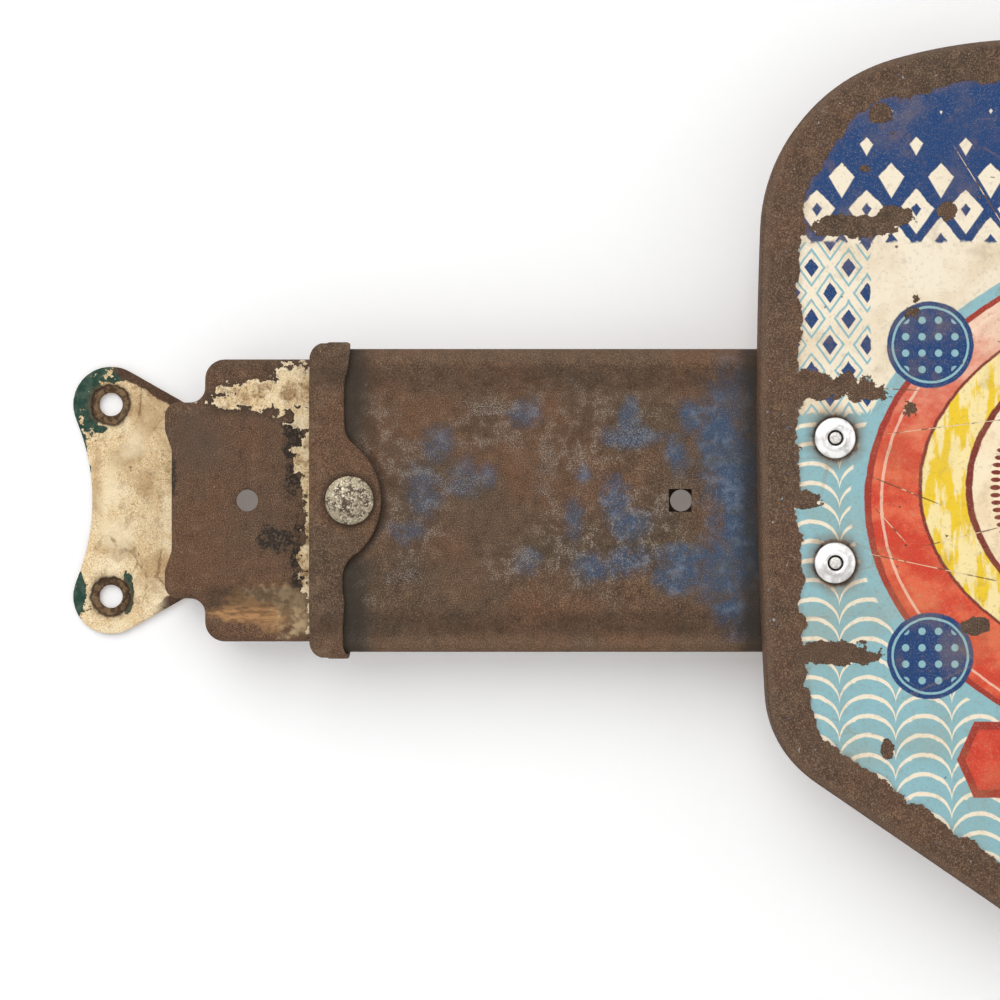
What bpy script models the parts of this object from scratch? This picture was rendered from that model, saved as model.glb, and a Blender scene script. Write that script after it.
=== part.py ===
"""An adjustable push sign for a shop door, in pressed sheet steel.

A wide channel, the push bar, spans the door. A stamped arm slides in each of its ends and carries two ears
that are screwed to the door. A collar over each end of the bar takes the carriage bolt that clamps the arm,
and a shaped panel with a turned rim is riveted across the middle of the bar.

The sign hangs upright: +Z is up, +X is to the right as a customer sees it, and the front faces -Y. The door's
surface is the plane Y = 0, and the origin lies on it, behind the middle of the bar. A "reach" is a distance
from the sign's middle along X, the same on the left and on the right.
"""

import math

import bmesh
import bpy
from mathutils import Matrix, Vector

MM = 0.001

# Gap left between faces that touch on the real sign
FIT = 0.3 * MM

# Push bar: a channel with turned-in lips, whose face steps up from a flat band along each edge
BAR_LENGTH = 444.5 * MM
BAR_WIDTH = 71.5 * MM
BAR_DEPTH = 18.0 * MM
BAR_SHEET = 1.2 * MM
BAR_BEND = 2.4 * MM
BAR_LIP = 8.0 * MM
BAR_STANDOFF = 3.5 * MM
BAR_BAND = 5.2 * MM
BAR_SLOPE = 4.4 * MM
BAR_CROWN = 0.8 * MM

# Clamp bolt with its square neck, washer and square nut
CLAMP_INSET = 4.45 * MM
SPARE_HOLE_PITCH = 77.5 * MM
BOLT_NECK = 4.8 * MM
BOLT_SHANK = 4.6 * MM
BOLT_HEAD_WIDTH = 11.3 * MM
BOLT_DOME = 1.9 * MM
BOLT_HEAD_EDGE = 0.5 * MM
BOLT_TAIL = 2.2 * MM
WASHER_WIDTH = 12.7 * MM
WASHER_SHEET = 1.2 * MM
NUT_WIDTH = 9.5 * MM
NUT_THICKNESS = 3.2 * MM
NUT_CHAMFER = 0.6 * MM

# Collar: a band folded round three sides of the bar's end, with a round tab under the bolt
COLLAR_SHEET = 1.2 * MM
COLLAR_BEND = 2.4 * MM
COLLAR_PAST_BOLT = 9.5 * MM
COLLAR_WIDTH = 8.2 * MM
COLLAR_CORNER = 4.2 * MM
COLLAR_REAR_CORNER = 1.8 * MM
COLLAR_TAB_MARGIN = 7.4 * MM
COLLAR_TAB_RADIUS = 16.5 * MM
COLLAR_TAB_FILLET = 6.0 * MM

# Arm: a drawn channel that narrows to a neck, drops to the door and ends in two ears
ARM_SHEET = 1.2 * MM
ARM_BEND = 2.2 * MM
ARM_SIDE_PLAY = 1.15 * MM
ARM_DEPTH = 14.0 * MM
ARM_LENGTH = 122.4 * MM
ARM_PAST_BOLT = 34.6 * MM
ARM_CORNER = 4.7 * MM
ARM_HOLE_WIDTH = 5.1 * MM
ARM_OUTER_HOLE_INSET = 10.3 * MM
ARM_INNER_HOLE_INSET = 9.9 * MM
ARM_SLOT_INSET = 20.8 * MM
ARM_PUSH_IN = 5.0 * MM
NECK_WIDTH = 46.4 * MM
NECK_LENGTH = 7.8 * MM
NECK_FLARE = 1.6 * MM
NECK_FLARE_HEIGHT = 6.7 * MM
NECK_FLARE_SLOPE = 4.5 * MM
NECK_FLARE_ROUND = 2.4 * MM
NECK_CORNER = 3.0 * MM
NECK_FILLET = 3.5 * MM
FIELD_HEIGHT = 0.8 * MM
FIELD_LENGTH = 22.6 * MM
FIELD_CORNER = 5.0 * MM
FIELD_EDGE = 0.5 * MM
EAR_HOLE_PAST_NECK = 17.5 * MM
EAR_HOLE_SPACING = 46.9 * MM
EAR_HOLE_WIDTH = 5.6 * MM
EAR_LOBE_RADIUS = 9.3 * MM
EAR_WAIST_PAST_HOLES = 4.6 * MM
EAR_WAIST_SLOPE = 20.5
EAR_SHOULDER_SLOPE = 29.6

# Sign panel: a tray with a turned rim, whose outline is a crowned top over a tapered bottom
PANEL_WIDTH = 245.0 * MM
PANEL_HEIGHT = 214.6 * MM
PANEL_DEPTH = 6.0 * MM
PANEL_SHEET = 0.9 * MM
PANEL_BEND = 2.2 * MM
PANEL_CROWN_RADIUS = 120.0 * MM
PANEL_CROWN_TURN = 16.2
PANEL_SHOULDER_RADIUS = 42.0 * MM
PANEL_SHOULDER_TURN = 71.6
PANEL_SIDE_RADIUS = 1140.0 * MM
PANEL_SIDE_TURN = 5.5
PANEL_HIP_RADIUS = 26.0 * MM
PANEL_HIP_TURN = 52.3
PANEL_FOOT_RADIUS = 20.0 * MM

# Blind rivets through the panel and the bar, each with the broken stub of its mandrel
RIVET_INSET = 17.4 * MM
RIVET_SPACING = 28.9 * MM
RIVET_SLEEVE = 4.76 * MM
RIVET_FLANGE = 9.53 * MM
RIVET_FLANGE_EDGE = 0.35 * MM
RIVET_SHOULDER_HEIGHT = 0.55 * MM
RIVET_RING_HEIGHT = 0.4 * MM
RIVET_RING_WIDTH = 5.8 * MM
RIVET_BULB_WIDTH = 7.4 * MM
RIVET_BULB_LENGTH = 3.6 * MM
MANDREL_WIDTH = 2.9 * MM
MANDREL_SUNK = 0.35 * MM
MANDREL_HEAD_WIDTH = 4.2 * MM
MANDREL_HEAD_LENGTH = 1.8 * MM

# Levels along Y, from the door forwards
BAR_BACK = -BAR_STANDOFF
BAR_FRONT = BAR_BACK - BAR_DEPTH
COLLAR_FRONT = BAR_FRONT - FIT - COLLAR_SHEET
BAR_WEB_BACK = BAR_FRONT + BAR_SHEET
ARM_FRONT = BAR_WEB_BACK + BAR_CROWN + FIT
ARM_WEB_BACK = ARM_FRONT + ARM_SHEET
ARM_BACK = ARM_FRONT + ARM_DEPTH
WASHER_FRONT = ARM_WEB_BACK + FIT
NUT_FRONT = WASHER_FRONT + WASHER_SHEET + FIT
NUT_BACK = NUT_FRONT + NUT_THICKNESS
PANEL_BACK = BAR_FRONT - FIT
PANEL_FRONT = PANEL_BACK - PANEL_DEPTH

# Reaches along X, from the middle outwards
CLAMP_REACH = BAR_LENGTH / 2 - CLAMP_INSET
SPARE_HOLE_REACH = CLAMP_REACH - SPARE_HOLE_PITCH
COLLAR_OUTER = CLAMP_REACH + COLLAR_PAST_BOLT
COLLAR_INNER = COLLAR_OUTER - COLLAR_WIDTH
ARM_SHOULDER = CLAMP_REACH + ARM_PAST_BOLT
ARM_INNER = ARM_SHOULDER - ARM_LENGTH
NECK_REACH = ARM_SHOULDER + NECK_LENGTH
EAR_HOLE_REACH = NECK_REACH + EAR_HOLE_PAST_NECK
RIVET_REACH = PANEL_WIDTH / 2 - RIVET_INSET

# Half widths along Z
BAR_HALF = BAR_WIDTH / 2
BAR_BAND_EDGE = BAR_HALF - BAR_BAND
BAR_CROWN_EDGE = BAR_BAND_EDGE - BAR_SLOPE
COLLAR_HALF = BAR_HALF + FIT + COLLAR_SHEET
ARM_HALF = BAR_HALF - BAR_SHEET - ARM_SIDE_PLAY
NECK_HALF = NECK_WIDTH / 2

SIDES = {"left": -1, "right": 1}
HEIGHTS = {"upper": 1, "lower": -1}

# How finely curves are cut into straight pieces: the most that a chord leaves its arc, and the widest step
# in degrees
CHORD_ERROR = 0.05 * MM
WIDEST_STEP = 30.0
ROUND_SIDES = 20
BEND_STEPS = 3
DOME_STEPS = 4
SHARP_ANGLE = 32.0

# How far a cutter runs past what it cuts
REACH_PAST = 2.0 * MM


def arc(centre, radius, start, end):
    """Points on a circle between two angles in degrees, both ends included."""
    step = min(WIDEST_STEP, 2 * math.degrees(math.acos(1 - CHORD_ERROR / radius)))
    steps = max(2, math.ceil(abs(end - start) / step))
    angles = [math.radians(start + (end - start) * i / steps) for i in range(steps + 1)]
    return [(centre[0] + radius * math.cos(a), centre[1] + radius * math.sin(a)) for a in angles]


def rounded(corners):
    """A closed outline from corners given as (x, z, radius), each rounded by its radius."""
    outline = []
    for i, (x, z, radius) in enumerate(corners):
        corner = Vector((x, z))
        before = (Vector(corners[i - 1][:2]) - corner).normalized()
        after = (Vector(corners[(i + 1) % len(corners)][:2]) - corner).normalized()
        if radius == 0:
            outline.append(tuple(corner))
            continue
        half = before.angle(after) / 2
        centre = corner + (before + after).normalized() * (radius / math.sin(half))
        start = corner + before * (radius / math.tan(half)) - centre
        end = corner + after * (radius / math.tan(half)) - centre
        first = math.degrees(math.atan2(start.y, start.x))
        turn = (math.degrees(math.atan2(end.y, end.x)) - first + 180) % 360 - 180
        outline += arc(centre, radius, first, first + turn)
    return outline


def inset(outline, distance):
    """A counter-clockwise outline moved inwards by a distance, with the same number of points."""
    moved = []
    for i, point in enumerate(outline):
        here = Vector(point)
        along = (here - Vector(outline[i - 1])).normalized()
        onward = (Vector(outline[(i + 1) % len(outline)]) - here).normalized()
        left, next_left = Vector((-along.y, along.x)), Vector((-onward.y, onward.x))
        moved.append(tuple(here + (left + next_left) * distance / (1 + left.dot(next_left))))
    return moved


def mirrored(outline):
    """The points of an outline seen in a mirror at x = 0, in an order that keeps it counter-clockwise."""
    return [(-x, z) for x, z in reversed(outline)]


def sided(outline, sign):
    """An outline drawn for the right side of the sign, for the side that a sign of 1 or -1 names."""
    return outline if sign > 0 else mirrored(outline)


def strip(corners, bend, sheet):
    """A bent sheet's closed outline: an open path of outer corners, each bent to a radius, made thick leftwards."""
    outer = [corners[0]]
    for before, corner, after in zip(corners, corners[1:], corners[2:]):
        outer += rounded([(*before, 0), (*corner, bend), (*after, 0)])[1:-1]
    outer.append(corners[-1])
    inner = []
    for i, point in enumerate(outer):
        here = Vector(point)
        along = (here - Vector(outer[i - 1])).normalized() if i else None
        onward = (Vector(outer[i + 1]) - here).normalized() if i + 1 < len(outer) else None
        along, onward = along or onward, onward or along
        left, next_left = Vector((-along.y, along.x)), Vector((-onward.y, onward.x))
        inner.append(tuple(here + (left + next_left) * sheet / (1 + left.dot(next_left))))
    return outer + inner[::-1]


def new_object(name, build):
    """An object whose mesh a function builds, with its faces turned outwards."""
    shape = bmesh.new()
    build(shape)
    bmesh.ops.recalc_face_normals(shape, faces=shape.faces)
    mesh = bpy.data.meshes.new(name)
    shape.to_mesh(mesh)
    shape.free()
    part = bpy.data.objects.new(name, mesh)
    bpy.context.scene.collection.objects.link(part)
    return part


def loft(name, rings):
    """A closed body through rings of equal length, each a list of (x, y, z), with both ends capped."""

    def build(shape):
        rows = [[shape.verts.new(point) for point in ring] for ring in rings]
        for row, onward in zip(rows, rows[1:]):
            for i in range(len(row)):
                shape.faces.new((row[i - 1], row[i], onward[i], onward[i - 1]))
        shape.faces.new(rows[0])
        shape.faces.new(rows[-1])

    return new_object(name, build)


def level(outline, y):
    """An (x, z) outline as points of the plane at y."""
    return [(x, y, z) for x, z in outline]


def prism(name, outline, low, high):
    """An (x, z) outline extruded along Y."""
    return loft(name, [level(outline, low), level(outline, high)])


def extrusion(name, section, low, high):
    """A (y, z) section extruded along X."""
    return loft(name, [[(x, y, z) for y, z in section] for x in (low, high)])


def bullnose(outline, front, back, bend, deeper=0.0):
    """Rings of a block with a rounded front edge, from its back to its front, drawn in by a sheet's thickness."""
    rings = [level(inset(outline, deeper), back)]
    radius = bend - deeper
    for i in range(BEND_STEPS + 1):
        angle = math.pi / 2 * i / BEND_STEPS
        drawn = inset(outline, bend - radius * math.cos(angle))
        rings.append(level(drawn, front + bend - radius * math.sin(angle)))
    return rings


def turned(name, profile, x, z):
    """A body turned about the line along Y through (x, z), from a profile of (radius, y) with both ends on it."""

    def build(shape):
        rows = []
        for radius, y in profile:
            if radius == 0:
                rows.append([shape.verts.new((x, y, z))])
                continue
            angles = [math.tau * i / ROUND_SIDES for i in range(ROUND_SIDES)]
            rows.append([shape.verts.new((x + radius * math.cos(a), y, z + radius * math.sin(a))) for a in angles])
        for row, onward in zip(rows, rows[1:]):
            for i in range(ROUND_SIDES):
                quad = [row[i - 1], row[i], onward[i], onward[i - 1]] if len(row) == len(onward) else None
                if len(row) == 1:
                    quad = [row[0], onward[i], onward[i - 1]]
                elif len(onward) == 1:
                    quad = [row[i - 1], row[i], onward[0]]
                shape.faces.new(quad)

    return new_object(name, build)


def turned_ring(name, profile, x, z):
    """A ring turned about the line along Y through (x, z), from a closed profile of (radius, y)."""

    def build(shape):
        angles = [math.tau * i / ROUND_SIDES for i in range(ROUND_SIDES)]
        rows = [
            [shape.verts.new((x + r * math.cos(a), y, z + r * math.sin(a))) for a in angles] for r, y in profile
        ]
        for row, onward in zip(rows, rows[1:] + rows[:1]):
            for i in range(ROUND_SIDES):
                shape.faces.new((row[i - 1], row[i], onward[i], onward[i - 1]))

    return new_object(name, build)


def boolean(part, other, operation):
    """Joins another body to a part, cuts it out of the part or keeps only what they share."""
    change = part.modifiers.new(other.name, "BOOLEAN")
    change.object = other
    change.operation = operation
    change.solver = "EXACT"
    other.hide_render = True
    other.display_type = "WIRE"


def square_hole(part, label, x):
    """A square hole for a carriage bolt's neck, through the collar's and the bar's fronts."""
    half = BOLT_NECK / 2 + FIT
    corners = [(x - half, -half), (x + half, -half), (x + half, half), (x - half, half)]
    boolean(part, prism(label, corners, COLLAR_FRONT - REACH_PAST, ARM_FRONT + REACH_PAST), "DIFFERENCE")


def round_hole(part, label, x, z, width, low, high):
    """A round hole along Y."""
    boolean(part, prism(label, arc((x, z), width / 2, 0, 360)[:-1], low, high), "DIFFERENCE")


def rivet_holes(part, label, low, high):
    """The four holes that the panel's rivets pass through."""
    for side, sign in SIDES.items():
        for height, up in HEIGHTS.items():
            x, z = sign * RIVET_REACH, up * RIVET_SPACING / 2
            round_hole(part, f"{label}_rivet_hole_{height}_{side}", x, z, RIVET_SLEEVE + 2 * FIT, low, high)


def pivot_at(name, location):
    """An empty on a joint's axis."""
    empty = bpy.data.objects.new(name, None)
    empty.location = location
    bpy.context.scene.collection.objects.link(empty)
    return empty


def finish(part, material, pivot=None):
    """Gives a part its material and smooth round faces, and hangs it on its joint's empty if it moves."""
    part.data.materials.append(material)
    part.data.shade_smooth()
    part.data.set_sharp_from_angle(angle=math.radians(SHARP_ANGLE))
    if pivot:
        part.data.transform(Matrix.Translation(-pivot.location))
        part.parent = pivot
    return part


def surface(name, colour, roughness, metallic):
    """A surface with one colour, roughness and metallic value."""
    material = bpy.data.materials.new(name)
    material.use_nodes = True
    shader = material.node_tree.nodes["Principled BSDF"]
    shader.inputs["Base Color"].default_value = (*colour, 1.0)
    shader.inputs["Roughness"].default_value = roughness
    shader.inputs["Metallic"].default_value = metallic
    return material


def panel_outline():
    """The panel's outline: its left half, walked as arcs and a line from the top centre, and the mirror of it."""
    turns = (PANEL_CROWN_TURN, PANEL_SHOULDER_TURN, PANEL_SIDE_TURN, PANEL_HIP_TURN)
    radii = (PANEL_CROWN_RADIUS, PANEL_SHOULDER_RADIUS, PANEL_SIDE_RADIUS, PANEL_HIP_RADIUS)
    crown = math.sin(math.radians(PANEL_CROWN_TURN))
    shoulder = math.sin(math.radians(PANEL_CROWN_TURN + PANEL_SHOULDER_TURN))
    arcs_width = (
        PANEL_CROWN_RADIUS * crown + PANEL_SHOULDER_RADIUS * (shoulder - crown) + PANEL_SIDE_RADIUS * (1 - shoulder)
    )
    half_height = PANEL_HEIGHT / 2
    points = [(0.0, half_height), (arcs_width - PANEL_WIDTH / 2, half_height)]
    heading = 90.0
    for radius, turn in zip(radii, turns):
        outward = Vector((math.cos(math.radians(heading)), math.sin(math.radians(heading))))
        centre = Vector(points[-1]) - outward * radius
        points += arc(centre, radius, heading, heading + turn)[1:]
        heading += turn
    taper = math.radians(270.0 - heading)
    drop = points[-1][1] + half_height - PANEL_FOOT_RADIUS * (1 - math.cos(taper))
    foot_x = points[-1][0] + drop / math.tan(taper) + PANEL_FOOT_RADIUS * math.sin(taper)
    points += arc((foot_x, PANEL_FOOT_RADIUS - half_height), PANEL_FOOT_RADIUS, heading, 270.0)
    points.append((0.0, -half_height))
    return points + mirrored(points)[1:-1]


def make_sign_panel(material):
    """The tray, with its rim standing on the bar's front."""
    outline = panel_outline()
    outer = bullnose(outline, PANEL_FRONT, PANEL_BACK, PANEL_BEND)
    inner = bullnose(outline, PANEL_FRONT, PANEL_BACK, PANEL_BEND, PANEL_SHEET)
    panel = loft("sign_panel", outer[::-1] + inner)
    rivet_holes(panel, "panel", PANEL_FRONT - REACH_PAST, PANEL_BACK)
    finish(panel, material)


def channel_path(front, half):
    """The outer corners, as (y, z), of two side walls and a face with a raised middle, from the top down."""
    band = front + BAR_CROWN
    upper = [(BAR_BACK, half), (band, half), (band, BAR_BAND_EDGE), (front, BAR_CROWN_EDGE)]
    return upper + [(y, -z) for y, z in reversed(upper)]


def make_push_bar(material):
    """The channel, with its lips and two square bolt holes near each end."""
    lip = BAR_HALF - BAR_LIP
    path = [(BAR_BACK, lip), *channel_path(BAR_FRONT, BAR_HALF), (BAR_BACK, -lip)]
    bar = extrusion("push_bar", strip(path, BAR_BEND, BAR_SHEET), -BAR_LENGTH / 2, BAR_LENGTH / 2)
    for side, sign in SIDES.items():
        square_hole(bar, f"bar_clamp_hole_{side}", sign * CLAMP_REACH)
        square_hole(bar, f"bar_spare_hole_{side}", sign * SPARE_HOLE_REACH)
    rivet_holes(bar, "bar", BAR_FRONT - REACH_PAST, BAR_WEB_BACK + REACH_PAST)
    finish(bar, material)


def collar_outline():
    """The right collar from the front: rounded outer corners, and a round tab that points to the sign's middle."""
    past = COLLAR_HALF + REACH_PAST
    corner_x = COLLAR_OUTER - COLLAR_CORNER
    corner_z = COLLAR_HALF - COLLAR_CORNER
    tab_x = CLAMP_REACH - COLLAR_TAB_MARGIN + COLLAR_TAB_RADIUS
    fillet_x = COLLAR_INNER - COLLAR_TAB_FILLET
    fillet_z = math.sqrt((COLLAR_TAB_RADIUS + COLLAR_TAB_FILLET) ** 2 - (tab_x - fillet_x) ** 2)
    lean = math.degrees(math.atan2(fillet_z, tab_x - fillet_x))
    outline = [(COLLAR_INNER, -past), (corner_x, -past)]
    outline += arc((corner_x, -corner_z), COLLAR_CORNER, -90, 0)
    outline += arc((corner_x, corner_z), COLLAR_CORNER, 0, 90)
    outline += [(corner_x, past), (COLLAR_INNER, past)]
    outline += arc((fillet_x, fillet_z), COLLAR_TAB_FILLET, 0, -lean)
    outline += arc((tab_x, 0.0), COLLAR_TAB_RADIUS, 180 - lean, 180 + lean)[1:-1]
    outline += arc((fillet_x, -fillet_z), COLLAR_TAB_FILLET, lean, 0)
    return outline


def make_collar(side, material):
    """A folded band, trimmed to the collar's outline, with its two side flaps rounded at the back."""
    sign = SIDES[side]
    path = channel_path(COLLAR_FRONT, COLLAR_HALF)
    tab_tip = CLAMP_REACH - COLLAR_TAB_MARGIN
    low, high = sorted((sign * (tab_tip - REACH_PAST), sign * (COLLAR_OUTER + REACH_PAST)))
    collar = extrusion(f"{side}_collar", strip(path, COLLAR_BEND, COLLAR_SHEET), low, high)
    front = sided(collar_outline(), sign)
    boolean(collar, prism(f"{side}_collar_trim", front, COLLAR_FRONT - REACH_PAST, REACH_PAST), "INTERSECT")
    flap_outer = COLLAR_OUTER - COLLAR_CORNER
    flap_front = BAR_FRONT + BAR_CROWN
    rear = rounded(
        [
            (tab_tip - REACH_PAST, flap_front, 0),
            (COLLAR_INNER, flap_front, 0),
            (COLLAR_INNER, BAR_BACK, COLLAR_REAR_CORNER),
            (flap_outer, BAR_BACK, COLLAR_REAR_CORNER),
            (flap_outer, flap_front, 0),
            (COLLAR_OUTER + REACH_PAST, flap_front, 0),
            (COLLAR_OUTER + REACH_PAST, COLLAR_FRONT - REACH_PAST, 0),
            (tab_tip - REACH_PAST, COLLAR_FRONT - REACH_PAST, 0),
        ]
    )
    reach = COLLAR_HALF + REACH_PAST
    rings = [[(sign * x, y, z) for x, y in rear] for z in (-reach, reach)]
    boolean(collar, loft(f"{side}_collar_flap_trim", rings), "INTERSECT")
    square_hole(collar, f"{side}_collar_hole", sign * CLAMP_REACH)
    finish(collar, material)


def arm_outline():
    """The right arm's raised part from the front, with an end past its inner one, where it is cut off."""
    flare = NECK_REACH + NECK_FLARE
    flare_z = NECK_HALF - NECK_FLARE_HEIGHT
    waist_z = flare_z - NECK_FLARE_SLOPE
    lower = [
        (ARM_INNER - REACH_PAST, -ARM_HALF, 0),
        (ARM_SHOULDER, -ARM_HALF, ARM_CORNER),
        (ARM_SHOULDER, -NECK_HALF, NECK_FILLET),
        (flare, -NECK_HALF, NECK_CORNER),
        (flare, -flare_z, NECK_FLARE_ROUND),
        (NECK_REACH, -waist_z, NECK_FLARE_ROUND),
    ]
    return rounded(lower + [(x, -z, radius) for x, z, radius in reversed(lower)])


def field_outline():
    """The right arm's raised field: the neck's own width, carried a little way in along the arm."""
    inner = ARM_SHOULDER - FIELD_LENGTH
    outer, half = NECK_REACH - FIELD_EDGE, NECK_HALF - FIELD_EDGE
    return rounded(
        [
            (inner, -half, FIELD_CORNER),
            (outer, -half, NECK_CORNER),
            (outer, half, NECK_CORNER),
            (inner, half, FIELD_CORNER),
        ]
    )


def ear_outline():
    """The right arm's foot on the door: two lobes round the screw holes, with a hollow waist between them."""
    waist = math.radians(EAR_WAIST_SLOPE)
    slope = math.radians(EAR_SHOULDER_SLOPE)
    hole_z = EAR_HOLE_SPACING / 2
    waist_radius = (
        EAR_WAIST_PAST_HOLES * math.cos(waist) + hole_z * math.sin(waist) - EAR_LOBE_RADIUS
    ) / (1 - math.cos(waist))
    waist_x = EAR_HOLE_REACH + EAR_WAIST_PAST_HOLES + waist_radius
    root_x = NECK_REACH - 2 * ARM_SHEET
    tangent_x = EAR_HOLE_REACH - EAR_LOBE_RADIUS * math.sin(slope)
    tangent_z = hole_z + EAR_LOBE_RADIUS * math.cos(slope)
    root_z = tangent_z - (tangent_x - root_x) * math.tan(slope)
    first = 90 + EAR_SHOULDER_SLOPE
    outline = [(root_x, -root_z)]
    outline += arc((EAR_HOLE_REACH, -hole_z), EAR_LOBE_RADIUS, -first, EAR_WAIST_SLOPE)
    outline += arc((waist_x, 0.0), waist_radius, 180 + EAR_WAIST_SLOPE, 180 - EAR_WAIST_SLOPE)
    outline += arc((EAR_HOLE_REACH, hole_z), EAR_LOBE_RADIUS, -EAR_WAIST_SLOPE, first)
    outline.append((root_x, root_z))
    return outline


def slot_outline():
    """The right arm's slot for the bolt, which the arm's travel follows from."""
    half = BOLT_SHANK / 2 + FIT
    inner = arc((ARM_INNER + ARM_SLOT_INSET, 0.0), half, 90, 270)
    outer = arc((CLAMP_REACH + ARM_PUSH_IN, 0.0), half, -90, 90)
    return inner + outer


def make_arm(side, material):
    """One drawn piece: a block with a raised field and ears, hollowed, and opened at its back and inner end."""
    sign = SIDES[side]
    outline = sided(arm_outline(), sign)
    arm = loft(f"{side}_arm", bullnose(outline, ARM_FRONT, -ARM_SHEET / 2, ARM_BEND))
    field = bullnose(sided(field_outline(), sign), ARM_FRONT - FIELD_HEIGHT, ARM_FRONT + ARM_SHEET / 2, ARM_SHEET)
    boolean(arm, loft(f"{side}_arm_field", field), "UNION")
    boolean(arm, prism(f"{side}_arm_ears", sided(ear_outline(), sign), -ARM_SHEET, 0.0), "UNION")
    hollow = bullnose(outline, ARM_FRONT, REACH_PAST, ARM_BEND, ARM_SHEET)
    boolean(arm, loft(f"{side}_arm_hollow", hollow), "DIFFERENCE")
    half = ARM_HALF + REACH_PAST
    channel_end = ARM_SHOULDER + NECK_FILLET / 2
    channel = [(0.0, -half), (channel_end, -half), (channel_end, half), (0.0, half)]
    boolean(arm, prism(f"{side}_arm_back_trim", sided(channel, sign), ARM_BACK, REACH_PAST), "DIFFERENCE")
    beyond = [(0.0, -half), (ARM_INNER, -half), (ARM_INNER, half), (0.0, half)]
    boolean(arm, prism(f"{side}_arm_end_trim", sided(beyond, sign), ARM_FRONT - REACH_PAST, REACH_PAST), "DIFFERENCE")
    web = (ARM_FRONT - FIELD_HEIGHT - REACH_PAST, ARM_WEB_BACK + REACH_PAST)
    boolean(arm, prism(f"{side}_arm_slot", sided(slot_outline(), sign), *web), "DIFFERENCE")
    holes = {"outer": ARM_SHOULDER - ARM_OUTER_HOLE_INSET, "inner": ARM_INNER + ARM_INNER_HOLE_INSET}
    for label, reach in holes.items():
        round_hole(arm, f"{side}_arm_{label}_hole", sign * reach, 0.0, ARM_HOLE_WIDTH, *web)
    foot = (-ARM_SHEET - REACH_PAST, REACH_PAST)
    for height, up in HEIGHTS.items():
        z = up * EAR_HOLE_SPACING / 2
        round_hole(arm, f"{side}_{height}_ear_hole", sign * EAR_HOLE_REACH, z, EAR_HOLE_WIDTH, *foot)
    finish(arm, material, pivot_at(f"{side}_arm_slide", (sign * CLAMP_REACH, ARM_FRONT, 0.0)))


def make_clamp_bolt(side, material):
    """A carriage bolt: a low round head, a square neck that the bar and the collar hold, and a plain shank."""
    x = SIDES[side] * CLAMP_REACH
    seat = COLLAR_FRONT - FIT
    radius = BOLT_HEAD_WIDTH / 2
    sphere = (radius**2 + BOLT_DOME**2) / (2 * BOLT_DOME)
    widest = math.asin(radius / sphere)
    apex = seat - BOLT_HEAD_EDGE - BOLT_DOME
    angles = [widest * i / DOME_STEPS for i in range(DOME_STEPS + 1)]
    profile = [(sphere * math.sin(a), apex + sphere * (1 - math.cos(a))) for a in angles]
    tail = NUT_BACK + BOLT_TAIL
    profile += [(radius, seat), (BOLT_SHANK / 2, seat), (BOLT_SHANK / 2, tail), (0.0, tail)]
    bolt = turned(f"{side}_clamp_bolt", profile, x, 0.0)
    half = BOLT_NECK / 2
    corners = [(x - half, -half), (x + half, -half), (x + half, half), (x - half, half)]
    boolean(bolt, prism(f"{side}_bolt_neck", corners, seat - BOLT_HEAD_EDGE / 2, BAR_WEB_BACK), "UNION")
    finish(bolt, material)


def make_clamp_washer(side, material):
    """A flat washer behind the arm, round the bolt's shank."""
    hole, rim = BOLT_SHANK / 2 + FIT, WASHER_WIDTH / 2
    back = WASHER_FRONT + WASHER_SHEET
    profile = [(hole, WASHER_FRONT), (rim, WASHER_FRONT), (rim, back), (hole, back)]
    finish(turned_ring(f"{side}_clamp_washer", profile, SIDES[side] * CLAMP_REACH, 0.0), material)


def make_clamp_nut(side, material):
    """A square nut, its back corners chamfered, on the bolt's shank."""
    x = SIDES[side] * CLAMP_REACH
    half = NUT_WIDTH / 2
    corners = [(x - half, -half), (x + half, -half), (x + half, half), (x - half, half)]
    nut = prism(f"{side}_clamp_nut", corners, NUT_FRONT, NUT_BACK)
    corner = math.hypot(half, half)
    chamfer = [
        (0.0, NUT_FRONT - REACH_PAST),
        (corner + REACH_PAST, NUT_FRONT - REACH_PAST),
        (corner + REACH_PAST, NUT_BACK - NUT_CHAMFER - REACH_PAST),
        (corner - NUT_CHAMFER, NUT_BACK),
        (corner - NUT_CHAMFER, NUT_BACK + REACH_PAST),
        (0.0, NUT_BACK + REACH_PAST),
    ]
    boolean(nut, turned(f"{side}_nut_chamfer", chamfer, x, 0.0), "INTERSECT")
    bore = BOLT_SHANK + 2 * FIT
    round_hole(nut, f"{side}_nut_bore", x, 0.0, bore, NUT_FRONT - REACH_PAST, NUT_BACK + REACH_PAST)
    finish(nut, material, pivot_at(f"{side}_nut_turn", (x, NUT_FRONT, 0.0)))


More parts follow.
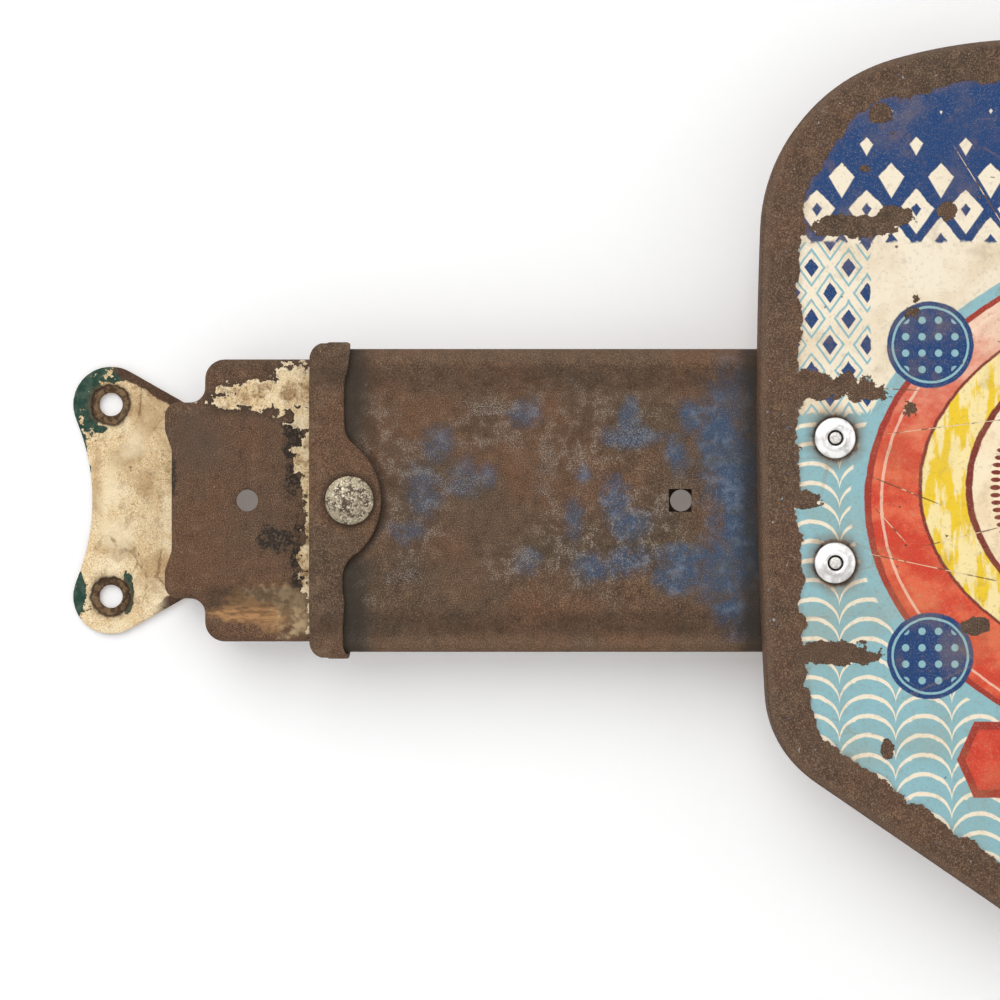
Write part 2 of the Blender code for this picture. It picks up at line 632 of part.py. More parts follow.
def make_rivet(side, height, rivet_material, mandrel_material):
    """A set blind rivet, from its flange on the panel to its bulb behind the bar, and the mandrel stub in it."""
    x, z = SIDES[side] * RIVET_REACH, HEIGHTS[height] * RIVET_SPACING / 2
    bore, sleeve, flange = MANDREL_WIDTH / 2 + FIT, RIVET_SLEEVE / 2, RIVET_FLANGE / 2
    ring, bulb = RIVET_RING_WIDTH / 2, RIVET_BULB_WIDTH / 2
    seat = PANEL_FRONT - FIT
    shoulder = seat - RIVET_FLANGE_EDGE - RIVET_SHOULDER_HEIGHT
    crest = shoulder - RIVET_RING_HEIGHT
    bulb_front = BAR_WEB_BACK + FIT
    bulb_back = bulb_front + RIVET_BULB_LENGTH
    profile = [
        (bore, shoulder),
        ((bore + ring) / 2, crest),
        (ring, shoulder),
        ((ring + flange) / 2, seat - RIVET_FLANGE_EDGE - RIVET_SHOULDER_HEIGHT * 2 / 3),
        (flange, seat - RIVET_FLANGE_EDGE),
        (flange, seat),
        (sleeve, seat),
        (sleeve, bulb_front),
        (bulb, bulb_front + RIVET_BULB_LENGTH / 4),
        (bulb, bulb_front + RIVET_BULB_LENGTH / 2),
        (sleeve, bulb_back),
        (bore, bulb_back),
    ]
    finish(turned_ring(f"{height}_{side}_panel_rivet", profile, x, z), rivet_material)
    stub, head = MANDREL_WIDTH / 2, MANDREL_HEAD_WIDTH / 2
    front, head_front = crest + MANDREL_SUNK, bulb_back + FIT
    head_back = head_front + MANDREL_HEAD_LENGTH
    profile = [
        (0.0, front),
        (stub, front),
        (stub, head_front),
        (head, head_front),
        (head, (head_front + head_back) / 2),
        (stub / 2, head_back),
        (0.0, head_back),
    ]
    finish(turned(f"{height}_{side}_rivet_mandrel", profile, x, z), mandrel_material)


def main():
    for old in list(bpy.data.objects):
        bpy.data.objects.remove(old)
    enamel = surface("panel_enamel", (0.72, 0.66, 0.52), 0.4, 0.0)
    rust = surface("rusted_paint", (0.115, 0.075, 0.055), 0.8, 0.0)
    cream = surface("cream_paint", (0.6, 0.48, 0.3), 0.6, 0.0)
    zinc = surface("worn_zinc", (0.42, 0.41, 0.38), 0.5, 0.9)
    aluminium = surface("rivet_aluminium", (0.8, 0.8, 0.8), 0.3, 1.0)
    steel = surface("mandrel_steel", (0.45, 0.45, 0.45), 0.4, 1.0)
    make_push_bar(rust)
    make_sign_panel(enamel)
    for side in SIDES:
        make_arm(side, cream)
        make_collar(side, rust)
        make_clamp_bolt(side, zinc)
        make_clamp_washer(side, zinc)
        make_clamp_nut(side, zinc)
        for height in HEIGHTS:
            make_rivet(side, height, aluminium, steel)


main()
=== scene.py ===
"""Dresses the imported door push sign: worn pressed steel, flaking paint, fasteners and a white set.

Shapes are worked out in millimetres, in the frame of the solids: +X right, +Z up, the front faces -Y, the
door's surface is Y = 0. A "reach" is a distance from the sign's middle along X, on the left and on the right.
"""

import functools
import math

import bmesh
import bpy
import numpy as np
from mathutils import Matrix, Vector
from mathutils.geometry import delaunay_2d_cdt


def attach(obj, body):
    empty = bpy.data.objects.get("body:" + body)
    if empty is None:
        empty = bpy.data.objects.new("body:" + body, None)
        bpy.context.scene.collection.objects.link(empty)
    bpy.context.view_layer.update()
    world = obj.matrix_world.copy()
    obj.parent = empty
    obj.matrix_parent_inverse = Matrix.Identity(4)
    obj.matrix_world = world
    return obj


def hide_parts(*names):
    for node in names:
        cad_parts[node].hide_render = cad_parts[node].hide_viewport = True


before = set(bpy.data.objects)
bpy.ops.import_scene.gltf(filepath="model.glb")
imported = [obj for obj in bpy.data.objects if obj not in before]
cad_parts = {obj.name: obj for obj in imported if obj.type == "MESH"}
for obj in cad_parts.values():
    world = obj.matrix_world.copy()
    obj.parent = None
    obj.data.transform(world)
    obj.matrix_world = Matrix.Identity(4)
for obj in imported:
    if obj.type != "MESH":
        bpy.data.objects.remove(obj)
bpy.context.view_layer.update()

SIDES = {"left": -1, "right": 1}
HEIGHTS = {"upper": 1, "lower": -1}

# Sizes of the solids, in millimetres
SHEET = 1.2
BAR_HALF_LENGTH, BAR_HALF = 222.25, 35.75
BAR_BACK, BAR_FRONT = -3.5, -21.5
BAR_BEND, BAR_LIP, BAR_CROWN = 2.4, 8.0, 0.8
BAR_BAND_EDGE, BAR_CROWN_EDGE = 30.55, 26.15
COLLAR_FRONT, COLLAR_HALF = -23.0, 37.25
COLLAR_OUTER, COLLAR_INNER, COLLAR_CORNER = 227.3, 219.1, 4.2
TAB_REACH, TAB_RADIUS, TAB_FILLET = 226.9, 16.5, 6.0
CLAMP_REACH, SPARE_REACH, SQUARE_HALF = 217.8, 140.3, 2.7
ARM_FRONT, ARM_BACK, ARM_HALF, ARM_BEND = -19.2, -5.2, 33.4, 2.2
ARM_INNER, ARM_SHOULDER, ARM_CORNER = 130.0, 252.4, 4.7
NECK_REACH, NECK_HALF, NECK_FLARE = 260.2, 23.2, 1.6
FIELD_INNER, FIELD_HEIGHT, FIELD_SLOPE, FIELD_CORNER = 229.8, 0.8, 4.2, 5.0
SLOT_INNER, SLOT_OUTER, SLOT_HALF = 150.8, 222.8, 2.6
ARM_HOLES, ARM_HOLE_RADIUS = (242.1, 139.9), 2.55
EAR_HOLE_REACH, EAR_HOLE_HALF_SPACING, EAR_HOLE_RADIUS = 277.7, 23.45, 2.8
EAR_LOBE_RADIUS, EAR_WAIST_DEPTH, EAR_WAIST_TURN, EAR_SLOPE = 9.3, 4.6, 20.5, 29.6
PANEL_HALF_WIDTH, PANEL_HALF_HEIGHT = 122.5, 107.3
PANEL_FRONT, PANEL_BACK, PANEL_SHEET, PANEL_BEND = -27.8, -21.8, 0.9, 2.2
# The panel's outline from the middle of its top: each arc's radius and turn in degrees, and the last radius
PANEL_ARCS, PANEL_FOOT = ((120.0, 16.2), (42.0, 71.6), (1140.0, 5.5), (26.0, 52.3)), 20.0
RIVET_REACH, RIVET_HALF_SPACING, RIVET_HOLE = 105.1, 14.45, 2.68
RIVETS = [(sign * RIVET_REACH, up * RIVET_HALF_SPACING) for sign in (-1, 1) for up in (1, -1)]
# From where to where the cutters of the bar's and the collar's holes reach
BORE = (-25, -16)
# How far the collar's inner edge swings outwards, as (z, distance)
COLLAR_WAVES = (
    (-40, 0.9), (-36.6, 0.9), (-35, -0.25), (-30, -0.3), (-24, 0.15), (-21, -0.35), (-18.5, -0.3), (18, 0.1),
    (23, 0.0), (28, 0.1), (30, 0.7), (34, 1.3), (40, 1.6),
)


# Outlines

def arc(centre, radius, start, end, step=6.0):
    """Points on a circle between two angles in degrees, both ends included."""
    steps = max(2, math.ceil(abs(end - start) / step))
    angles = np.radians(np.linspace(start, end, steps + 1))
    return [(centre[0] + radius * math.cos(a), centre[1] + radius * math.sin(a)) for a in angles]


def circle(centre, radius, step):
    return arc(centre, radius, 0, 360, step)[:-1]


def rounded(corners):
    """A closed outline from corners given as (x, z, radius)."""
    outline = []
    for i, (x, z, radius) in enumerate(corners):
        if radius == 0:
            outline.append((x, z))
            continue
        corner = Vector((x, z))
        before = (Vector(corners[i - 1][:2]) - corner).normalized()
        after = (Vector(corners[(i + 1) % len(corners)][:2]) - corner).normalized()
        half = before.angle(after) / 2
        centre = corner + (before + after).normalized() * (radius / math.sin(half))
        start = corner + before * (radius / math.tan(half)) - centre
        end = corner + after * (radius / math.tan(half)) - centre
        first = math.degrees(math.atan2(start.y, start.x))
        turn = (math.degrees(math.atan2(end.y, end.x)) - first + 180) % 360 - 180
        outline += arc(centre, radius, first, first + turn)
    return outline


def square(reach, half, radius=0):
    """The outline of a square about (reach, 0)."""
    return rounded([(reach + a * half, b * half, radius) for a, b in ((-1, -1), (1, -1), (1, 1), (-1, 1))])


def inset(outline, distance):
    """A counter-clockwise outline moved inwards, with the same number of points."""
    points = np.array(outline)
    along = points - np.roll(points, 1, axis=0)
    along /= np.linalg.norm(along, axis=1)[:, None]
    onward = np.roll(along, -1, axis=0)
    left = np.stack([-along[:, 1], along[:, 0]], axis=1)
    onward_left = np.stack([-onward[:, 1], onward[:, 0]], axis=1)
    share = distance / (1 + (left * onward_left).sum(axis=1))
    return (points + (left + onward_left) * share[:, None]).tolist()


def sided(outline, sign):
    """An outline drawn for the right side, for the side of the sign, kept counter-clockwise."""
    return list(outline) if sign > 0 else [(-x, z) for x, z in reversed(outline)]


def strip(corners, bend, sheet):
    """The closed outline of a bent sheet, from an open path of outer corners; the sheet lies to its left."""
    outer = [corners[0]]
    for before, corner, after in zip(corners, corners[1:], corners[2:]):
        outer += rounded([(*before, 0), (*corner, bend), (*after, 0)])[1:-1]
    outer.append(corners[-1])
    inner = []
    for i, point in enumerate(outer):
        here = Vector(point)
        along = (here - Vector(outer[i - 1])).normalized() if i else None
        onward = (Vector(outer[i + 1]) - here).normalized() if i + 1 < len(outer) else None
        along, onward = along or onward, onward or along
        left, onward_left = Vector((-along.y, along.x)), Vector((-onward.y, onward.x))
        inner.append(tuple(here + (left + onward_left) * sheet / (1 + left.dot(onward_left))))
    return outer + inner[::-1]


def resampled(outline, step):
    """A closed outline with extra points wherever two are further apart than the step."""
    dense = []
    for i, point in enumerate(outline):
        here, onward = np.array(point), np.array(outline[(i + 1) % len(outline)])
        pieces = max(1, math.ceil(np.linalg.norm(onward - here) / step))
        dense += [tuple(here + (onward - here) * k / pieces) for k in range(pieces)]
    return dense


def distance_to(outline, points):
    """The distance from (x, z) points to a closed outline."""
    nearest = np.full(len(points), 1e9)
    for a, b in zip(np.roll(outline, 1, axis=0), np.array(outline)):
        along = b - a
        t = np.clip(((points - a) @ along) / (along @ along), 0, 1)
        nearest = np.minimum(nearest, np.linalg.norm(points - a - t[:, None] * along, axis=1))
    return nearest


def within(outline, points):
    """Which of some (x, z) points lie inside a closed outline."""
    inside = np.zeros(len(points), bool)
    for a, b in zip(np.roll(outline, 1, axis=0), outline):
        crosses = (a[1] > points[:, 1]) != (b[1] > points[:, 1])
        rise = np.where(b[1] == a[1], 1e-9, b[1] - a[1])
        inside ^= crosses & (points[:, 0] < a[0] + (points[:, 1] - a[1]) * (b[0] - a[0]) / rise)
    return inside


# Noise for shapes

def lattice(i, j, k, seed):
    """A repeatable random number from -1 to 1 for each cell of a grid."""
    n = (i * 73856093) ^ (j * 19349663) ^ (k * 83492791) ^ (seed * 40503)
    n = ((n ^ (n >> 13)) * 1274126177) & 0x7FFFFFFF
    n = (n ^ (n >> 15)) & 0xFFFF
    return n / 32767.5 - 1.0


def noise(points, size, seed, octaves=1):
    """Smooth noise from about -1 to 1 at points in millimetres; a size is the width of its largest lumps."""
    total, weight, whole = 0.0, 1.0, 0.0
    for octave in range(octaves):
        scaled = np.asarray(points) / size * 2**octave
        cell = np.floor(scaled).astype(np.int64)
        f = scaled - cell
        f = f * f * (3 - 2 * f)
        value = 0.0
        for corner in np.ndindex(2, 2, 2):
            share = np.where(corner, f, 1 - f).prod(axis=1)
            value = value + share * lattice(*(cell + corner).T, seed + octave)
        total, whole, weight = total + value * weight, whole + weight, weight * 0.5
    return total / whole


def smoothstep(low, high, value):
    t = np.clip((value - low) / (high - low), 0, 1)
    return t * t * (3 - 2 * t)


# Meshes

def add_object(name, data):
    added = bpy.data.objects.new(name, data)
    bpy.context.scene.collection.objects.link(added)
    return added


def new_object(name, verts, faces):
    """An object in millimetres, with its faces turned outwards."""
    mesh = bpy.data.meshes.new(name)
    mesh.from_pydata([tuple(v) for v in verts], [], [tuple(int(i) for i in f) for f in faces])
    shape = bmesh.new()
    shape.from_mesh(mesh)
    bmesh.ops.recalc_face_normals(shape, faces=shape.faces)
    shape.to_mesh(mesh)
    shape.free()
    return add_object(name, mesh)


def band(low, high, size):
    """The faces between two rings of points, each given by its first point's number."""
    return [(low + (i - 1) % size, low + i, high + i, high + (i - 1) % size) for i in range(size)]


def loft(name, rings):
    """A closed body through rings of equal length."""
    size, verts, faces = len(rings[0]), [point for ring in rings for point in ring], []
    for low in range(0, len(verts) - size, size):
        faces += band(low, low + size, size)
    return new_object(name, verts, [*faces, range(size), range(len(verts) - size, len(verts))])


def level(outline, y):
    return [(x, y, z) for x, z in outline]


def prism(name, outline, low, high):
    return loft(name, [level(outline, low), level(outline, high)])


def bullnose(outline, front, back, bend, deeper=0.0, steps=6):
    """Rings, from the back to the front, of a block with a rounded front edge, all drawn in by a depth."""
    rings = [level(inset(outline, deeper), back)]
    radius = bend - deeper
    for angle in np.linspace(0, math.pi / 2, steps + 1):
        ring = inset(outline, bend - radius * math.cos(angle))
        rings.append(level(ring, front + bend - radius * math.sin(angle)))
    return rings


def turned(name, profile, reach, z, sides=64, closed=False, shape=None):
    """A body turned about the line along Y through (reach, z), from (radius, y); a shape alters the radii."""
    angles = np.linspace(0, math.tau, sides, endpoint=False)
    verts, rows = [], []
    for radius, y in profile:
        if radius == 0:
            rows.append([len(verts)])
            verts.append((reach, y, z))
            continue
        radii = shape(radius, y, angles) if shape else np.full(sides, radius)
        rows.append(list(range(len(verts), len(verts) + sides)))
        verts += [(reach + r * math.cos(a), y, z + r * math.sin(a)) for r, a in zip(radii, angles)]
    faces = []
    for row, onward in zip(rows, rows[1:] + rows[:1] if closed else rows[1:]):
        for i in range(sides):
            if len(row) == 1:
                faces.append((row[0], onward[i], onward[i - 1]))
            elif len(onward) == 1:
                faces.append((row[i - 1], row[i], onward[0]))
            else:
                faces.append((row[i - 1], row[i], onward[i], onward[i - 1]))
    return new_object(name, verts, faces)


def settle(piece):
    """Turns a piece's modifiers into its mesh."""
    graph = bpy.context.evaluated_depsgraph_get()
    mesh, old = bpy.data.meshes.new_from_object(piece.evaluated_get(graph)), piece.data
    piece.modifiers.clear()
    piece.data = mesh
    bpy.data.meshes.remove(old)


def combine(piece, others, operation):
    """Joins a piece with other bodies, or cuts them out of it, or keeps what they share, and uses them up."""
    for other in others:
        change = piece.modifiers.new("change", "BOOLEAN")
        change.object = other
        change.operation = operation
        change.solver = "EXACT"
    settle(piece)
    for other in others:
        mesh = other.data
        bpy.data.objects.remove(other)
        bpy.data.meshes.remove(mesh)


def remeshed(piece, voxel):
    """An even mesh over a body, with its edges softened as wear and paint leave them."""
    change = piece.modifiers.new("remesh", "REMESH")
    change.mode = "VOXEL"
    change.voxel_size = voxel
    change.adaptivity = 0
    softer = piece.modifiers.new("soften", "SMOOTH")
    softer.factor = 0.5
    softer.iterations = 3
    settle(piece)


def lighter(piece, share):
    """The same shape with a share of its triangles."""
    piece.modifiers.new("lighter", "DECIMATE").ratio = share
    settle(piece)


def coordinates(piece):
    points = np.empty(len(piece.data.vertices) * 3)
    piece.data.vertices.foreach_get("co", points)
    return points.reshape(-1, 3)


def move_points(piece, points):
    piece.data.vertices.foreach_set("co", np.ascontiguousarray(points).ravel())
    piece.data.update()


def done(piece, body, material, nodes, sharp=40.0):
    """Takes a finished shape to metres, dresses it and hangs it on its body in place of its nodes."""
    piece.data.transform(Matrix.Scale(0.001, 4))
    piece.data.materials.clear()
    piece.data.materials.append(material)
    piece.data.shade_smooth()
    piece.data.set_sharp_from_angle(angle=math.radians(sharp))
    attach(piece, body)
    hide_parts(*nodes)


# The pieces

def channel_path(front, half):
    """Half of the section that the bar and the collars share, and its mirror, as (y, z)."""
    edge = front + BAR_CROWN
    upper = [(BAR_BACK, half), (edge, half), (edge, BAR_BAND_EDGE), (front, BAR_CROWN_EDGE)]
    return upper + [(y, -z) for y, z in reversed(upper)]


def push_bar(material):
    """The bar: its section run along X in short steps, a little uneven, with its bolt and rivet holes."""
    lip = BAR_HALF - BAR_LIP
    path = [(BAR_BACK, lip), *channel_path(BAR_FRONT, BAR_HALF), (BAR_BACK, -lip)]
    section = resampled(strip(path, BAR_BEND, SHEET), 2.6)
    stations = np.linspace(-BAR_HALF_LENGTH, BAR_HALF_LENGTH, 171)
    bar = loft("push_bar_steel", [[(x, y, z) for y, z in section] for x in stations])
    points = coordinates(bar)
    x, y, z = np.abs(points).T
    wave = noise(points * (1, 0, 1), 38, 3, 3) * 0.16 + 0.02
    wave *= smoothstep(14, 19, y) * smoothstep(BAR_HALF, 31, z)
    points[:, 1] += np.abs(wave) * smoothstep(BAR_HALF_LENGTH, 214, x)
    move_points(bar, points)
    holes = []
    for sign in SIDES.values():
        holes += [square(sign * reach, SQUARE_HALF) for reach in (CLAMP_REACH, SPARE_REACH)]
        holes += [circle(centre, RIVET_HOLE, 12) for centre in RIVETS if centre[0] * sign > 0]
    combine(bar, [prism("bore", hole, *BORE) for hole in holes], "DIFFERENCE")
    done(bar, "sign", material, ["push_bar"])


def collar_outline():
    """The right collar from the front: a band past the bar's edges, with a wavy inner edge and a tab."""
    past = COLLAR_HALF + 3
    corner_x, corner_z = COLLAR_OUTER - COLLAR_CORNER, COLLAR_HALF - COLLAR_CORNER
    fillet_x = COLLAR_INNER - TAB_FILLET
    fillet_z = math.sqrt((TAB_RADIUS + TAB_FILLET) ** 2 - (TAB_REACH - fillet_x) ** 2)
    lean = math.degrees(math.atan2(fillet_z, TAB_REACH - fillet_x))
    outline = [
        (COLLAR_INNER, -past),
        (corner_x, -past),
        *arc((corner_x, -corner_z), COLLAR_CORNER, -90, 0),
        *arc((corner_x, corner_z), COLLAR_CORNER, 0, 90),
        (corner_x, past),
        (COLLAR_INNER, past),
        *arc((fillet_x, fillet_z), TAB_FILLET, 0, -lean),
        *arc((TAB_REACH, 0.0), TAB_RADIUS, 180 - lean, 180 + lean, 4)[1:-1],
        *arc((fillet_x, -fillet_z), TAB_FILLET, lean, 0),
    ]
    wavy = []
    for x, z in resampled(outline, 1.0):
        waves = x < corner_x - 1.5 and abs(z) > fillet_z * 0.7
        wavy.append((x - np.interp(z, *zip(*COLLAR_WAVES)) if waves else x, z))
    return wavy


def collar(side, material):
    """A collar: the band and its round tab, bent round the bar's end and softened all over."""
    sign, past = SIDES[side], COLLAR_HALF + 3
    inner, outer = TAB_REACH - TAB_RADIUS - 3, COLLAR_OUTER + 2
    section = strip(channel_path(COLLAR_FRONT, COLLAR_HALF), BAR_BEND, SHEET)
    ends = sorted((sign * inner, sign * outer))
    body = loft(f"{side}_collar_steel", [[(x, y, z) for y, z in section] for x in ends])
    combine(body, [prism("trim", sided(collar_outline(), sign), COLLAR_FRONT - 3, 3)], "INTERSECT")
    # Seen from above, the flaps behind the front face end short of the tab and have rounded rear corners
    flap_front, flap_outer = BAR_FRONT + BAR_CROWN, COLLAR_OUTER - COLLAR_CORNER
    flaps = rounded([
        (inner, flap_front, 0),
        (COLLAR_INNER - 1.0, flap_front, 0),
        (COLLAR_INNER - 0.2, BAR_BACK, 1.8),
        (flap_outer, BAR_BACK, 1.8),
        (flap_outer, flap_front, 0),
        (outer, flap_front, 0),
        (outer, COLLAR_FRONT - 3, 0),
        (inner, COLLAR_FRONT - 3, 0),
    ])
    combine(body, [loft("flaps", [[(sign * x, y, z) for x, y in flaps] for z in (-past, past)])], "INTERSECT")
    combine(body, [prism("bore", square(sign * CLAMP_REACH, SQUARE_HALF), *BORE)], "DIFFERENCE")
    remeshed(body, 0.3)
    points = coordinates(body)
    dents = np.clip(noise(points, 9, 11 + sign, 2), 0, 1) * 0.22
    points[:, 1] += dents * smoothstep(-21, -22.4, points[:, 1])
    move_points(body, points)
    lighter(body, 0.35)
    done(body, "sign", material, [f"{side}_collar"], 60)


def arm_outline():
    """The right arm's raised part from the front: shoulders, neck, and the flare beside the ears."""
    flare = NECK_REACH + NECK_FLARE
    flare_z = NECK_HALF - 6.7
    lower = [
        (ARM_INNER - 2, -ARM_HALF, 0),
        (ARM_SHOULDER, -ARM_HALF, ARM_CORNER),
        (ARM_SHOULDER, -NECK_HALF, 3.5),
        (flare, -NECK_HALF, 3.0),
        (flare, -flare_z, 2.4),
        (NECK_REACH, 4.5 - flare_z, 2.4),
    ]
    return rounded(lower + [(x, -z, radius) for x, z, radius in reversed(lower)])


def ear_outline():
    """The right arm's foot on the door, with its two lobes and the waist between them."""
    turn, slope = math.radians(EAR_WAIST_TURN), math.radians(EAR_SLOPE)
    hole_z, lobe = EAR_HOLE_HALF_SPACING, EAR_LOBE_RADIUS
    waist_radius = (EAR_WAIST_DEPTH * math.cos(turn) + hole_z * math.sin(turn) - lobe) / (1 - math.cos(turn))
    waist_x = EAR_HOLE_REACH + EAR_WAIST_DEPTH + waist_radius
    root_x = NECK_REACH - 2 * SHEET
    tangent_x = EAR_HOLE_REACH - lobe * math.sin(slope)
    root_z = hole_z + lobe * math.cos(slope) - (tangent_x - root_x) * math.tan(slope)
    return [
        (root_x, -root_z),
        *arc((EAR_HOLE_REACH, -hole_z), lobe, -90 - EAR_SLOPE, EAR_WAIST_TURN),
        *arc((waist_x, 0.0), waist_radius, 180 + EAR_WAIST_TURN, 180 - EAR_WAIST_TURN, 1.5),
        *arc((EAR_HOLE_REACH, hole_z), lobe, -EAR_WAIST_TURN, 90 + EAR_SLOPE),
        (root_x, root_z),
    ]


def arm(side, material):
    """An arm: drawn channel, neck and ears in one even mesh, with its raised field and lumpy painted foot."""
    sign = SIDES[side]
    outline = sided(arm_outline(), sign)
    body = loft(f"{side}_arm_steel", bullnose(outline, ARM_FRONT, -0.6, ARM_BEND))
    combine(body, [prism("ears", sided(ear_outline(), sign), -SHEET, 0.0)], "UNION")
    cutters = [loft("hollow", bullnose(outline, ARM_FRONT, 2, ARM_BEND, SHEET))]
    before, half = ARM_FRONT - 2, ARM_HALF + 2
    for end, y in ((ARM_SHOULDER + 1.75, ARM_BACK), (ARM_INNER, before)):
        trim = [(0.0, -half), (end, -half), (end, half), (0.0, half)]
        cutters.append(prism("trim", sided(trim, sign), y, 2))
    slot = arc((SLOT_INNER, 0), SLOT_HALF, 90, 270, 15) + arc((SLOT_OUTER, 0), SLOT_HALF, -90, 90, 15)
    cutters.append(prism("slot", sided(slot, sign), before, -15))
    for reach in ARM_HOLES:
        cutters.append(prism("bore", circle((sign * reach, 0), ARM_HOLE_RADIUS, 9), before, -15))
    for up in HEIGHTS.values():
        centre = (sign * EAR_HOLE_REACH, up * EAR_HOLE_HALF_SPACING)
        cutters.append(prism("bore", circle(centre, EAR_HOLE_RADIUS, 9), -4, 2))
    combine(body, cutters, "DIFFERENCE")
    remeshed(body, 0.42)

    points = coordinates(body)
    x, y, z = np.abs(points[:, 0]), points[:, 1], np.abs(points[:, 2])
    # The raised field between the collar and the neck
    from_inner, from_edge = x - FIELD_INNER, NECK_HALF + 0.6 - z
    past_corner = np.minimum((from_inner - FIELD_CORNER, from_edge - FIELD_CORNER), 0)
    corner = FIELD_CORNER - np.hypot(*past_corner)
    field = smoothstep(0, FIELD_SLOPE, np.minimum(np.minimum(from_inner, from_edge), corner))
    field *= smoothstep(-14, -17, y)
    points[:, 1] -= FIELD_HEIGHT * field
    # Thick, lumpy paint on the foot, with a rim round each screw hole
    foot = smoothstep(-0.75, -1.1, y) * (y > -3) * smoothstep(NECK_REACH + 0.6, NECK_REACH + 4.5, x)
    ridges = np.clip(noise(points * (1.6, 1, 0.7), 7, 47 + sign, 2), -0.2, 1)
    lumps = noise(points, 13, 31 + sign, 3) * 0.5 + ridges * 0.35
    away = np.hypot(x - EAR_HOLE_REACH, z - EAR_HOLE_HALF_SPACING)
    rims = smoothstep(4.9, 4.1, away) * smoothstep(EAR_HOLE_RADIUS - 0.1, EAR_HOLE_RADIUS + 0.6, away)
    lumps = smoothstep(4.0, 6.5, away) * np.clip(lumps + 0.12, -0.25, 0.75)
    points[:, 1] -= foot * (lumps + 0.16 * rims)
    # Shallow dents elsewhere on the front
    web = smoothstep(-15.5, -17.5, y) * (1 - 0.5 * field)
    points[:, 1] += web * np.abs(noise(points * (1, 0, 1), 21, 71 + sign, 2)) * 0.14
    move_points(body, points)
    lighter(body, 0.34)
    done(body, f"{side}_arm", material, [f"{side}_arm"], 60)


def panel_outline():
    """The panel's outline, counter-clockwise from the top centre, as arcs and a line and their mirror."""
    (top, top_turn), (shoulder, shoulder_turn), (side, _), _ = PANEL_ARCS
    past_top, past_shoulder = (math.sin(math.radians(t)) for t in (top_turn, top_turn + shoulder_turn))
    width = top * past_top + shoulder * (past_shoulder - past_top) + side * (1 - past_shoulder)
    points, heading = [(0.0, PANEL_HALF_HEIGHT), (width - PANEL_HALF_WIDTH, PANEL_HALF_HEIGHT)], 90.0
    for radius, turn in PANEL_ARCS:
        outward = np.array([math.cos(math.radians(heading)), math.sin(math.radians(heading))])
        centre = np.array(points[-1]) - outward * radius
        points += arc(centre, radius, heading, heading + turn, min(4.0, 150 / radius))[1:]
        heading += turn
    taper = math.radians(270.0 - heading)
    drop = points[-1][1] + PANEL_HALF_HEIGHT - PANEL_FOOT * (1 - math.cos(taper))
    foot_x = points[-1][0] + drop / math.tan(taper) + PANEL_FOOT * math.sin(taper)
    points += arc((foot_x, PANEL_FOOT - PANEL_HALF_HEIGHT), PANEL_FOOT, heading, 270.0, 4.0)
    points.append((0.0, -PANEL_HALF_HEIGHT))
    return points + [(-x, z) for x, z in reversed(points)][1:-1]


def pierced_face(edge):
    """A dense flat face inside an outline, with the rivet holes: its points, its triangles and its loops."""
    holes = [np.array(circle(centre, RIVET_HOLE, 15)) for centre in RIVETS]
    step, from_edge, from_hole, in_hole = 4.2, 1.6, 4.4, 2.6
    grid = np.array([
        (x + (row % 2) * step / 2, row * step * 0.866)
        for row in range(-30, 31)
        for x in np.arange(-31, 31) * step
    ])
    grid = grid[within(edge, grid) & (distance_to(edge, grid) > from_edge)]
    for hole in holes:
        grid = grid[np.linalg.norm(grid - hole.mean(axis=0), axis=1) > from_hole]
    loops, start = [], 0
    for loop in (edge, *holes):
        loops.append(list(range(start, start + len(loop))))
        start += len(loop)
    points = np.concatenate([edge, *holes, grid])
    joins = [(loop[i - 1], loop[i]) for loop in loops for i in range(len(loop))]
    _, _, faces, origins, _, _ = delaunay_2d_cdt([Vector(p) for p in points], joins, [loops[0]], 1, 1e-6)
    triangles = []
    for face in faces:
        triangle = [origins[i][0] for i in face]
        middle = points[triangle].mean(axis=0)
        if all(np.linalg.norm(middle - hole.mean(axis=0)) >= in_hole for hole in holes):
            triangles.append(triangle)
    return points, triangles, loops


def sign_panel(material):
    """The tray: a rim of rings and two dense faces, uneven, each point with its distance from the rim."""
    outline = resampled(panel_outline(), 3.0)
    flat, triangles, loops = pierced_face(np.array(inset(outline, PANEL_BEND)))
    verts, faces, starts = [], [], []

    def add(points):
        verts.extend(points)
        return len(verts) - len(points)

    for deeper in (0.0, PANEL_SHEET):
        rings = bullnose(outline, PANEL_FRONT, PANEL_BACK, PANEL_BEND, deeper, 7)[:-1]
        face = add(level(flat, PANEL_FRONT + deeper))
        marks = [add(ring) for ring in rings]
        for low, high in zip(marks, marks[1:] + [face]):
            faces += band(low, high, len(outline))
        faces += [tuple(face + i for i in t) for t in triangles]
        starts.append((marks[0], face))
    (front_ring, front_face), (back_ring, back_face) = starts
    faces += band(front_ring, back_ring, len(outline))
    for loop in loops[1:]:
        faces += band(front_face + loop[0], back_face + loop[0], len(loop))
    panel = new_object("sign_panel_steel", verts, faces)
    points = coordinates(panel)
    rim = distance_to(outline, points[:, [0, 2]])
    rim[points[:, 1] > PANEL_FRONT + 2] = 0
    calm = smoothstep(2.5, 12, rim)
    for reach, z in RIVETS:
        calm *= smoothstep(6, 14, np.hypot(points[:, 0] - reach, points[:, 2] - z))
    points[:, 1] += np.abs(noise(points * (1, 0, 1), 34, 5, 3)) * 0.35 * calm
    move_points(panel, points)
    kept = panel.data.attributes.new("rim", "FLOAT", "POINT")
    kept.data.foreach_set("value", rim.astype(np.float32))
    done(panel, "sign", material, ["sign_panel"])


